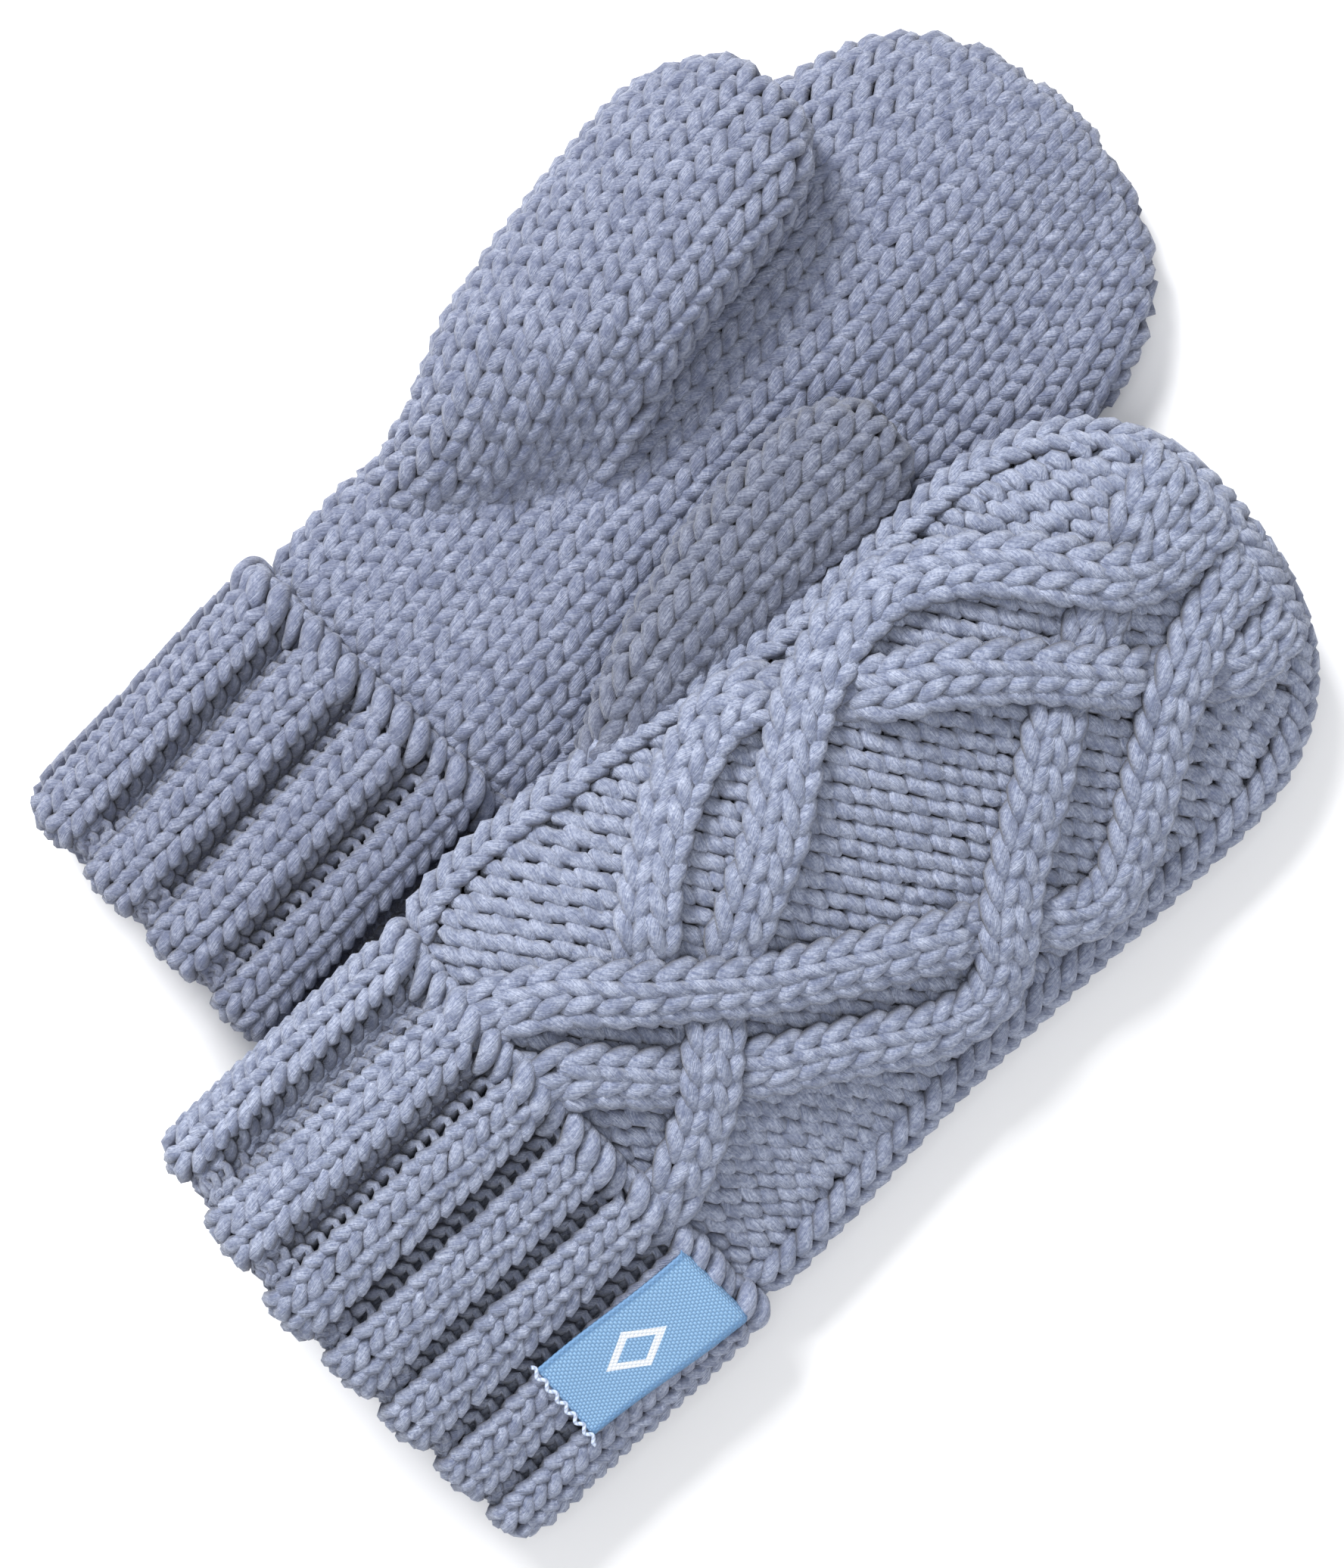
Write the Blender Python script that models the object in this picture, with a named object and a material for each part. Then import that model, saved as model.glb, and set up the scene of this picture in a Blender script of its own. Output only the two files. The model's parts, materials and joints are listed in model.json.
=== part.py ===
"""A pair of lined, cable-knit mittens laid one over the other.

The left mitten lies palm up on the floor, its thumb on its palm. The right mitten lies back up and leans on the
left one. Each mitten has its own frame: x across the hand, y from the cuff's fold to the finger tip, z up. Both
thumbs are at -x. Sizes are in millimetres and MM turns them into metres.
"""

import math

import bmesh
import bpy
from mathutils import Matrix, Vector

MM = 0.001

# Where each mitten lies: the middle of its cuff's fold, and its turn about z.
LEFT_ORIGIN = (-28.73, -102.21)
RIGHT_ORIGIN = (36.39, -134.81)
RIGHT_TURN = math.radians(-3.3)

# The outline, seen from above.
CUFF_HALF_WIDTH = 53.2
CUFF_LENGTH = 66.0
FOLD_ROUNDING = 2.0
WRIST_HALF_WIDTH = 50.5
HAND_HALF_WIDTH = 46.3
PALM_FROM = 135.0
TIP_FROM = 192.0
MITTEN_LENGTH = 240.0
TIP_POWER = 2.5
SECTION_POWER = 2.6

# Thickness. Each mitten sinks a little, so that its underside rests flat.
CUFF_HALF_HEIGHT = 14.2
HAND_HALF_HEIGHT = 12.0
SETTLE = 0.8
KNIT = 3.6
RIB = 3.4
LINING = 1.4
GAP = 0.4

# The lining and its hem, inside the wrist ribbing.
LINING_FROM = 16.0
LINING_EASE = 1.0
LINING_STEP = 4.0
HEM_LENGTH = 3.6
HEM_THICKNESS = 1.1
SEAM_HALF_HEIGHT = 0.8
SEAM_CHANNEL = SEAM_HALF_HEIGHT + 0.3
RIB_FROM = 0.6
TIP_KNOT_SIZE = (2.9, 1.2)

# The left thumb lies on the palm: a tube whose mouth is at its root.
THUMB_KNIT = 3.4
THUMB_LINING = 1.2
LEFT_THUMB_ROOT = 108.0
LEFT_THUMB_TIP = 203.5
LEFT_THUMB_DOME = 27.5
LEFT_THUMB_HALF_WIDTH = 21.3
LEFT_THUMB_HALF_HEIGHT = 9.0
LEFT_THUMB_REST = 23.7
LEFT_THUMB_FARTHEST_X = -43.8
LEFT_THUMB_FARTHEST_Y = 186.0
LEFT_THUMB_BOW = 0.0017
LEFT_THUMB_ROWS = 4
LEFT_THUMB_ANGLES = [math.radians(a) for a in (20, 40, 58, 74, 84)]
LEFT_THUMB_ROUNDING = 0.9
LEFT_THUMB_FLATTENING = 0.54
LEFT_THUMB_DROOP = 0.008
LEFT_THUMB_DROOP_FROM_X = -30.0
LEFT_THUMB_KNOT_SIZE = (1.6, 1.2)
LEFT_THUMB_HOLE = (-31.0, 99.0)
LEFT_THUMB_HOLE_RADII = (11.5, 7.5)
LEFT_THUMB_HOLE_FROM, LEFT_THUMB_HOLE_TO = 14.0, 38.0

# The right thumb lies beside the hand's edge: its mouth is in the side that meets the hand.
RIGHT_THUMB_ROOT = 117.0
RIGHT_THUMB_TIP = 201.5
RIGHT_THUMB_INNER_X = -48.9
RIGHT_THUMB_EDGE_X = -51.5
RIGHT_THUMB_SWELL = 22.8
RIGHT_THUMB_SWELL_POWER = 1.15
RIGHT_THUMB_WIDEST_AT = 0.68
RIGHT_THUMB_HALF_HEIGHT = 8.6
RIGHT_THUMB_ROOT_SHARE = 0.55
RIGHT_THUMB_GROWN_BY = 26.0
RIGHT_THUMB_DOME = 20.0
RIGHT_THUMB_STATIONS = (0, 0.12, 0.26, 0.44, 0.66, 1)
RIGHT_THUMB_ANGLES = [math.radians(a) for a in (25, 48, 67, 83)]
RIGHT_THUMB_ROUNDING = 0.8
RIGHT_THUMB_REST = 19.2
RIGHT_THUMB_SLOPE = 0.185
RIGHT_THUMB_KNIT = 2.6
RIGHT_THUMB_LINING_DEPTHS = (3.0, 3.9)
RIGHT_THUMB_HOLE = (-46.0, 141.0, 24.6)
RIGHT_THUMB_HOLE_RADII = (7.0, 2.8)
RIGHT_THUMB_HOLE_DEPTH = 18.0
THINNEST = 0.3

# The woven label, folded over the cuff's cast-on edge and sewn down at its lower end.
LABEL_X = (28.7, 46.0)
LABEL_Y = (26.7, 66.7)
LABEL_THICKNESS = 0.7
LABEL_FOLD = 1.6
STITCH_RADIUS = 0.35
STITCH_OVERHANG = 1.6

# How the two lie together: the left is pressed under the right, and the right is lifted by the left.
PRESSED_SHARE = 0.70
PRESS_FROM, PRESS_TO = -5.0, 26.0
LIFT_HIGH, LIFT_LOW = 18.3, -2.5
LIFT_FROM, LIFT_TO = -18.0, 38.0

AROUND = 20
CUFF_ROWS = (0.0, 2.0, 6.0, CUFF_LENGTH)
HAND_ROWS = 5
TIP_ANGLES = [math.radians(a) for a in (18, 35, 50, 63, 74, 82, 87.5)]


def smooth(t):
    """0 to 1 with level ends, as t goes from 0 to 1."""
    t = min(max(t, 0.0), 1.0)
    return t * t * (3 - 2 * t)


def eased(t):
    """0 to 1 as t goes from 0 to 1, straight in the middle and rounded over a tenth at each end."""
    corner = 0.1
    t = min(max(t, -corner), 1 + corner)
    if t < corner:
        return (t + corner) ** 2 / (4 * corner)
    if t > 1 - corner:
        return 1 - (1 + corner - t) ** 2 / (4 * corner)
    return t


def power(value, exponent):
    return math.copysign(abs(value) ** exponent, value)


def press(x):
    """How much of its height the left mitten keeps at x, where the right one lies on it."""
    return 1 - (1 - PRESSED_SHARE) * smooth((x - PRESS_FROM) / (PRESS_TO - PRESS_FROM))


def lift(x):
    """How far the right mitten is raised at x by the left one under it."""
    return LIFT_HIGH + (LIFT_LOW - LIFT_HIGH) * eased((x - LIFT_FROM) / (LIFT_TO - LIFT_FROM))


def settle_left(x, y, z, inset):
    """A left mitten point laid on the floor. inset is how deep its layer is, so that layers stay apart."""
    return Vector((x, y, max(z, inset) * press(x)))


def settle_right(x, y, z, inset):
    return Vector((x, y, max(z + lift(x), inset)))


class Section:
    """One cross-section of a layer: where it is, its half width and half height, and its middle."""

    def __init__(self, y, half_width, half_height, middle, inset, centre=0.0):
        self.y, self.half_width, self.half_height = y, half_width, half_height
        self.middle, self.inset, self.centre = middle, inset, centre

    def point(self, angle, settle, least_side=0.0, side=0):
        """The point at this angle, from +x over the top. least_side keeps one panel off its seam."""
        x = self.half_width * power(math.cos(angle), 2 / SECTION_POWER)
        z = self.half_height * power(math.sin(angle), 2 / SECTION_POWER)
        if side:
            z = side * max(side * z, least_side)
        return settle(self.centre + x, self.y, self.middle + z, self.inset)

    def ring(self, settle):
        return [self.point(2 * math.pi * i / AROUND, settle) for i in range(AROUND)]

    def arc(self, settle, side):
        """The upper (side 1) or lower (side -1) half of the ring, from +x to -x."""
        half = AROUND // 2
        return [
            self.point(side * math.pi * i / half, settle, SEAM_CHANNEL, side)
            for i in range(half + 1)
        ]


def cuff_section(y, inset):
    corner = FOLD_ROUNDING * (1 - smooth(y / (3 * FOLD_ROUNDING))) if inset == 0 else 0.0
    middle = CUFF_HALF_HEIGHT - SETTLE
    return Section(y, CUFF_HALF_WIDTH - corner - inset, CUFF_HALF_HEIGHT - corner - inset, middle, inset)


def hand_half_width(y):
    narrowed = smooth((y - CUFF_LENGTH) / (PALM_FROM - CUFF_LENGTH))
    return WRIST_HALF_WIDTH + (HAND_HALF_WIDTH - WRIST_HALF_WIDTH) * narrowed


def hand_section(y, inset):
    middle = HAND_HALF_HEIGHT - SETTLE
    return Section(y, hand_half_width(y) - inset, HAND_HALF_HEIGHT - inset, middle, inset)


def tip_section(angle, inset):
    """A section of the rounded tip, at this angle from where the tip begins to its very end."""
    across = math.cos(angle) ** (2 / TIP_POWER)
    along = math.sin(angle) ** (2 / TIP_POWER)
    return Section(
        TIP_FROM + (MITTEN_LENGTH - TIP_FROM - inset) * along,
        (HAND_HALF_WIDTH - inset) * across,
        (HAND_HALF_HEIGHT - inset) * math.cos(angle) ** 0.5,
        HAND_HALF_HEIGHT - SETTLE,
        inset,
    )


def hand_sections(first_y, inset):
    rows = [first_y + (TIP_FROM - first_y) * i / HAND_ROWS for i in range(HAND_ROWS + 1)]
    return [hand_section(y, inset) for y in rows] + [tip_section(a, inset) for a in TIP_ANGLES]


def lining_sections(inset):
    """The lining runs from inside the wrist ribbing, round the step where the hand begins, to the tip."""
    in_cuff = RIB + GAP + LINING_EASE
    cuff = [cuff_section(y, in_cuff + inset) for y in (LINING_FROM, CUFF_LENGTH + GAP)]
    return cuff + hand_sections(CUFF_LENGTH + LINING_STEP, inset)


def left_thumb_centre(y):
    return LEFT_THUMB_FARTHEST_X + LEFT_THUMB_BOW * (LEFT_THUMB_FARTHEST_Y - y) ** 2


def left_thumb_sections(first_y, inset):
    dome_from = LEFT_THUMB_TIP - LEFT_THUMB_DOME
    middle = LEFT_THUMB_HALF_HEIGHT
    found = []
    for i in range(LEFT_THUMB_ROWS + 1):
        y = first_y + (dome_from - first_y) * i / LEFT_THUMB_ROWS
        found.append((y, LEFT_THUMB_HALF_WIDTH - inset, LEFT_THUMB_HALF_HEIGHT - inset))
    for angle in LEFT_THUMB_ANGLES:
        y = dome_from + (LEFT_THUMB_DOME - inset) * math.sin(angle)
        half_width = (LEFT_THUMB_HALF_WIDTH - inset) * math.cos(angle) ** LEFT_THUMB_ROUNDING
        half_height = (LEFT_THUMB_HALF_HEIGHT - inset) * math.cos(angle) ** LEFT_THUMB_FLATTENING
        found.append((y, half_width, half_height))
    return [Section(y, w, h, middle, 0.0, left_thumb_centre(y)) for y, w, h in found]


def settle_left_thumb(x, y, z, inset):
    """The thumb lies on the palm and droops over the hand's edge."""
    beyond = max(LEFT_THUMB_DROOP_FROM_X - x, 0.0)
    return Vector((x, y, z + LEFT_THUMB_REST - LEFT_THUMB_DROOP * beyond**2))


def right_thumb_outer_x(y):
    """The thumb's free edge: it leaves the hand at the root and bows out towards the tip."""
    along = (y - RIGHT_THUMB_ROOT) / (RIGHT_THUMB_TIP - RIGHT_THUMB_ROOT)
    swelled = math.sin(min(along / RIGHT_THUMB_WIDEST_AT, 1.0) * math.pi / 2)
    return RIGHT_THUMB_EDGE_X - RIGHT_THUMB_SWELL * swelled**RIGHT_THUMB_SWELL_POWER


def right_thumb_sections(inset):
    found = []
    dome_from = RIGHT_THUMB_TIP - RIGHT_THUMB_DOME
    first_y = RIGHT_THUMB_ROOT + inset
    for station in RIGHT_THUMB_STATIONS:
        y = first_y + (dome_from - first_y) * station
        grown = smooth((y - RIGHT_THUMB_ROOT) / RIGHT_THUMB_GROWN_BY)
        share = RIGHT_THUMB_ROOT_SHARE + (1 - RIGHT_THUMB_ROOT_SHARE) * grown
        found.append((y, 1.0, RIGHT_THUMB_HALF_HEIGHT * share))
    for angle in RIGHT_THUMB_ANGLES:
        y = dome_from + (RIGHT_THUMB_DOME - inset) * math.sin(angle)
        half_height = RIGHT_THUMB_HALF_HEIGHT * math.cos(angle) ** 0.5
        found.append((y, math.cos(angle) ** RIGHT_THUMB_ROUNDING, half_height))
    sections = []
    for y, across, half_height in found:
        outer_x = right_thumb_outer_x(y)
        half_width = max((RIGHT_THUMB_INNER_X - outer_x) / 2 * across - inset, THINNEST)
        centre = (outer_x + RIGHT_THUMB_INNER_X) / 2
        half_height = max(half_height - inset, THINNEST)
        sections.append(Section(y, half_width, half_height, RIGHT_THUMB_HALF_HEIGHT, 0.0, centre))
    return sections


def settle_right_thumb(x, y, z, inset):
    """The thumb lies on the left palm, which rises away from the right hand."""
    return Vector((x, y, z + RIGHT_THUMB_REST - RIGHT_THUMB_SLOPE * (x - RIGHT_THUMB_INNER_X)))


# ---- making meshes


def strip(bm, one, other, closed=True):
    """Faces between two rows of vertices of the same length."""
    count = len(one)
    for i in range(count if closed else count - 1):
        j = (i + 1) % count
        bm.faces.new((one[i], one[j], other[j], other[i]))


def loft(bm, rings):
    rows = [[bm.verts.new(point) for point in ring] for ring in rings]
    for low, high in zip(rows, rows[1:]):
        strip(bm, low, high)
    return rows


def bag(outer, inner):
    """A shell that is closed at its tip and open at its first rings."""
    bm = bmesh.new()
    outside, inside = loft(bm, outer), loft(bm, inner)
    strip(bm, outside[0], inside[0])
    bm.faces.new(outside[-1])
    bm.faces.new(inside[-1])
    return bm


def sleeve(outer, inner):
    """A shell that is open at both ends."""
    bm = bmesh.new()
    outside, inside = loft(bm, outer), loft(bm, inner)
    strip(bm, outside[0], inside[0])
    strip(bm, outside[-1], inside[-1])
    return bm


def bar(loops):
    """A solid lofted through closed loops, with a face on each end."""
    bm = bmesh.new()
    rows = loft(bm, loops)
    bm.faces.new(rows[0])
    bm.faces.new(rows[-1])
    return bm


def hollow(outer, inner):
    """A closed shell round a sealed cavity, which a cutter opens."""
    bm = bar(outer)
    bmesh.ops.recalc_face_normals(bm, faces=bm.faces)
    core = bar(inner)
    bmesh.ops.recalc_face_normals(core, faces=core.faces)
    bmesh.ops.reverse_faces(core, faces=core.faces)
    mesh = bpy.data.meshes.new("core")
    core.to_mesh(mesh)
    core.free()
    bm.from_mesh(mesh)
    bpy.data.meshes.remove(mesh)
    return bm


def material(name, colour, roughness):
    made = bpy.data.materials.new(name)
    made.use_nodes = True
    shader = made.node_tree.nodes["Principled BSDF"]
    shader.inputs["Base Color"].default_value = (*colour, 1.0)
    shader.inputs["Roughness"].default_value = roughness
    shader.inputs["Metallic"].default_value = 0.0
    return made


KNIT_COLOUR = (0.36, 0.41, 0.56)
LINING_COLOUR = (0.30, 0.34, 0.46)
LABEL_COLOUR = (0.21, 0.38, 0.60)
THREAD_COLOUR = (0.55, 0.68, 0.80)


def add(name, bm, parent, colour, origin=(0, 0, 0), face_out=True, roughness=0.9):
    """An object made of bm, in its mitten's frame and in millimetres, with its origin at origin."""
    if face_out:
        bmesh.ops.recalc_face_normals(bm, faces=bm.faces)
    bmesh.ops.transform(bm, matrix=Matrix.Scale(MM, 4), verts=bm.verts)
    pivot = Vector(origin) * MM
    bmesh.ops.translate(bm, verts=bm.verts, vec=-pivot)
    bmesh.ops.triangulate(bm, faces=bm.faces)
    mesh = bpy.data.meshes.new(name)
    bm.to_mesh(mesh)
    bm.free()
    mesh.materials.append(material(name, colour, roughness))
    obj = bpy.data.objects.new(name, mesh)
    bpy.context.scene.collection.objects.link(obj)
    obj.parent = parent
    obj.location = pivot
    mesh.shade_smooth()
    mesh.set_sharp_from_angle(angle=math.radians(40))
    return obj


def add_frame(name, origin, turn):
    frame = bpy.data.objects.new(name, None)
    frame.location = (origin[0] * MM, origin[1] * MM, 0)
    frame.rotation_euler = (0, 0, turn)
    frame.empty_display_size = 0.02
    bpy.context.scene.collection.objects.link(frame)
    return frame


def add_cutter(name, parent, centre, radii, depth, along_x=False):
    """An elliptical prism: upright, or along x, whose points are kept off the cut solids' own vertices."""
    bm = bmesh.new()
    bmesh.ops.create_cone(
        bm, cap_ends=True, segments=16, radius1=MM, radius2=MM, depth=depth * MM,
        matrix=Matrix.Rotation(math.radians(7), 4, "Z"),
    )
    bmesh.ops.scale(bm, vec=(radii[0], radii[1], 1), verts=bm.verts)
    if along_x:
        turn = Matrix.Rotation(math.pi / 2, 4, "Z") @ Matrix.Rotation(math.pi / 2, 4, "X")
        bmesh.ops.transform(bm, matrix=turn, verts=bm.verts)
    mesh = bpy.data.meshes.new(name)
    bm.to_mesh(mesh)
    bm.free()
    cutter = bpy.data.objects.new(name, mesh)
    bpy.context.scene.collection.objects.link(cutter)
    cutter.parent = parent
    cutter.location = Vector(centre) * MM
    cutter.hide_render = True
    cutter.display_type = "WIRE"
    return cutter


def cut(obj, cutter):
    hole = obj.modifiers.new("thumb_hole", "BOOLEAN")
    hole.operation = "DIFFERENCE"
    hole.solver = "EXACT"
    hole.object = cutter


# ---- the pieces of a mitten


def add_panel(name, frame, settle, side):
    """Half of the knitted hand: the upper (side 1) or lower (side -1) panel, from the wrist to the tip."""
    outer = hand_sections(CUFF_LENGTH + GAP, 0)
    inner = hand_sections(CUFF_LENGTH + GAP, KNIT)
    loops = [o.arc(settle, side) + i.arc(settle, side)[::-1] for o, i in zip(outer, inner)]
    return add(name, bar(loops), frame, KNIT_COLOUR)


def add_side_seam(name, frame, settle, side):
    """The yarn that links the two panels along one edge, in the channel between them."""
    outer = hand_sections(CUFF_LENGTH + GAP, 0)
    inner = hand_sections(CUFF_LENGTH + GAP, KNIT)
    loops = []
    for o, i in zip(outer[:-1], inner[:-1]):
        far = Vector((side * o.half_width, o.y))
        near = Vector((side * i.half_width, i.y))
        loop = []
        for share, z in ((0.08, 1), (0.92, 1), (0.92, -1), (0.08, -1)):
            spot = far.lerp(near, share)
            loop.append(settle(spot.x, spot.y, o.middle + z * SEAM_HALF_HEIGHT, 0))
        loops.append(loop)
    return add(name, bar(loops), frame, LINING_COLOUR)


def add_sleeves(prefix, frame, settle):
    """The turned cuff outside, and the wrist ribbing inside it, which the cuff's fold is turned up from."""
    cuff = sleeve(
        [cuff_section(y, 0).ring(settle) for y in CUFF_ROWS],
        [cuff_section(y, KNIT).ring(settle) for y in CUFF_ROWS],
    )
    ends = (RIB_FROM, CUFF_LENGTH)
    rib = sleeve(
        [cuff_section(y, KNIT + GAP).ring(settle) for y in ends],
        [cuff_section(y, KNIT + GAP + RIB).ring(settle) for y in ends],
    )
    add(prefix + "_turned_cuff", cuff, frame, KNIT_COLOUR)
    add(prefix + "_wrist_rib", rib, frame, KNIT_COLOUR)


def add_lining(prefix, frame, settle):
    outer = [s.ring(settle) for s in lining_sections(KNIT + GAP)]
    inner = [s.ring(settle) for s in lining_sections(KNIT + GAP + LINING)]
    return add(prefix + "_hand_lining", bag(outer, inner), frame, LINING_COLOUR, roughness=1.0)


def add_hem(prefix, frame, settle):
    """The overlocked edge that holds the lining to the wrist ribbing."""
    depth = KNIT + RIB + 2 * GAP
    ends = (LINING_FROM - GAP - HEM_LENGTH, LINING_FROM - GAP)
    hem = sleeve(
        [cuff_section(y, depth).ring(settle) for y in ends],
        [cuff_section(y, depth + HEM_THICKNESS).ring(settle) for y in ends],
    )
    add(prefix + "_lining_hem", hem, frame, THREAD_COLOUR)


def add_knot(name, frame, settle, y, length, middle, half_width, half_height, centre=0.0, origin=(0, 0, 0)):
    """The gathered yarn that draws a tip closed: a small plug in the hole that the last stitches leave."""
    loops = []
    for t, share in ((0, 0.6), (0.3, 1), (0.8, 1), (1, 0.7)):
        section = Section(y + length * t, half_width * share, half_height * share, middle, 0, centre)
        loops.append([section.point(math.pi * i / 4, settle) for i in range(8)])
    return add(name, bar(loops), frame, KNIT_COLOUR, origin)


def add_hand(prefix, frame, settle, upper, lower):
    add_sleeves(prefix, frame, settle)
    lining = add_lining(prefix, frame, settle)
    add_hem(prefix, frame, settle)
    panels = {
        upper: add_panel(f"{prefix}_{upper}_panel", frame, settle, 1),
        lower: add_panel(f"{prefix}_{lower}_panel", frame, settle, -1),
    }
    add_side_seam(prefix + "_outer_seam", frame, settle, 1)
    add_side_seam(prefix + "_thumb_side_seam", frame, settle, -1)
    add_knot(
        prefix + "_tip_knot", frame, settle, MITTEN_LENGTH - KNIT + 0.5, KNIT - 0.6,
        HAND_HALF_HEIGHT - SETTLE, *TIP_KNOT_SIZE,
    )
    return panels["palm"], lining


def add_left_thumb(frame, palm, lining):
    """The thumb's tube, its lining and its knot, all on the hinge line under the tube's mouth."""
    settle = settle_left_thumb
    pivot = (left_thumb_centre(LEFT_THUMB_ROOT), LEFT_THUMB_ROOT, LEFT_THUMB_REST)
    tube = sleeve(
        [s.ring(settle) for s in left_thumb_sections(LEFT_THUMB_ROOT, 0)],
        [s.ring(settle) for s in left_thumb_sections(LEFT_THUMB_ROOT, THUMB_KNIT)],
    )
    add("left_thumb_tube", tube, frame, KNIT_COLOUR, pivot)
    depth = THUMB_KNIT + GAP
    inside = bag(
        [s.ring(settle) for s in left_thumb_sections(LEFT_THUMB_ROOT + 1, depth)],
        [s.ring(settle) for s in left_thumb_sections(LEFT_THUMB_ROOT + 1, depth + THUMB_LINING)],
    )
    add("left_thumb_lining", inside, frame, LINING_COLOUR, pivot, roughness=1.0)
    add_knot(
        "left_thumb_knot", frame, settle, LEFT_THUMB_TIP - THUMB_KNIT + 0.5, THUMB_KNIT - 0.7,
        LEFT_THUMB_HALF_HEIGHT, *LEFT_THUMB_KNOT_SIZE, left_thumb_centre(LEFT_THUMB_TIP), pivot,
    )
    middle = (LEFT_THUMB_HOLE_FROM + LEFT_THUMB_HOLE_TO) / 2
    depth = LEFT_THUMB_HOLE_TO - LEFT_THUMB_HOLE_FROM
    cutter = add_cutter("left_thumb_hole", frame, (*LEFT_THUMB_HOLE, middle), LEFT_THUMB_HOLE_RADII, depth)
    cut(palm, cutter)
    cut(lining, cutter)


def add_right_thumb(frame, palm, lining):
    settle = settle_right_thumb
    pivot = (RIGHT_THUMB_INNER_X, RIGHT_THUMB_ROOT, RIGHT_THUMB_REST)
    cutter = add_cutter(
        "right_thumb_hole", frame, RIGHT_THUMB_HOLE, RIGHT_THUMB_HOLE_RADII, RIGHT_THUMB_HOLE_DEPTH,
        along_x=True,
    )
    outer = right_thumb_sections(0)
    core = right_thumb_sections(RIGHT_THUMB_KNIT)
    tube = hollow([s.ring(settle) for s in outer], [s.ring(settle) for s in core[1:-1]])
    cut(add("right_thumb_tube", tube, frame, KNIT_COLOUR, pivot, face_out=False), cutter)
    lining_outer, lining_core = (right_thumb_sections(depth) for depth in RIGHT_THUMB_LINING_DEPTHS)
    inside = hollow(
        [s.ring(settle) for s in lining_outer[1:-2]], [s.ring(settle) for s in lining_core[2:-3]]
    )
    cut(
        add("right_thumb_lining", inside, frame, LINING_COLOUR, pivot, face_out=False, roughness=1.0), cutter
    )
    cut(palm, cutter)
    cut(lining, cutter)


def cuff_top(x, extra):
    """The height of the right cuff's upper surface at x, and extra above it."""
    share = (1 - abs(x / CUFF_HALF_WIDTH) ** SECTION_POWER) ** (1 / SECTION_POWER)
    return CUFF_HALF_HEIGHT - SETTLE + CUFF_HALF_HEIGHT * share + extra + lift(x)


def add_label(frame):
    """A folded strip: down the cuff's face, and over its cast-on edge."""
    low, high = LABEL_Y
    middle = (low + high) / 2
    face = GAP + LABEL_THICKNESS
    under = [(low, GAP), (middle, GAP), (high - 1.2, GAP), (high + 0.2, -0.2), (high + 0.5, -LABEL_FOLD)]
    over = [(low, face), (middle, face), (high - 0.9, face), (high + 0.8, 0.44), (high + 1.2, -LABEL_FOLD)]
    loops = []
    steps = 6
    for i in range(steps + 1):
        x = LABEL_X[0] + (LABEL_X[1] - LABEL_X[0]) * i / steps
        loops.append([Vector((x, y, cuff_top(x, up))) for y, up in under + over[::-1]])
    add("right_woven_label", bar(loops), frame, LABEL_COLOUR, roughness=0.45)


def add_label_stitch(frame):
    """The thread line across the label's lower end, which runs a little past both of its sides."""
    loops = []
    steps = 8
    for i in range(steps + 1):
        x = LABEL_X[0] - STITCH_OVERHANG + (LABEL_X[1] - LABEL_X[0] + 2 * STITCH_OVERHANG) * i / steps
        z = cuff_top(x, GAP + 2 * STITCH_RADIUS)
        y = LABEL_Y[0] - GAP - STITCH_RADIUS
        loops.append(
            [
                Vector((x, y + STITCH_RADIUS * math.cos(a), z + STITCH_RADIUS * math.sin(a)))
                for a in (math.pi * k / 3 for k in range(6))
            ]
        )
    add("right_label_stitch", bar(loops), frame, THREAD_COLOUR)


def main():
    for obj in list(bpy.data.objects):
        bpy.data.objects.remove(obj, do_unlink=True)
    left = add_frame("left_frame", LEFT_ORIGIN, 0.0)
    right = add_frame("right_frame", RIGHT_ORIGIN, RIGHT_TURN)
    add_left_thumb(left, *add_hand("left", left, settle_left, "palm", "back"))
    add_right_thumb(right, *add_hand("right", right, settle_right, "back", "palm"))
    add_label(right)
    add_label_stitch(right)


main()
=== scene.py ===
"""The look of a pair of chunky knitted mittens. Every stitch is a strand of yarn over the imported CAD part.

Each mitten has its own frame, in millimetres: x across the hand, y from the cuff's fold to the finger tip,
z up. A Sheet is a surface that fabric follows. A place on it is given by s, the distance across it, and v,
the distance along it, both measured on the surface. Yarn is laid over a sheet as courses, which are rows of
stitches. A wale is a column of stitches, and the number called wale counts the stitches along a course.
"""

import json
import math
from dataclasses import dataclass

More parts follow.
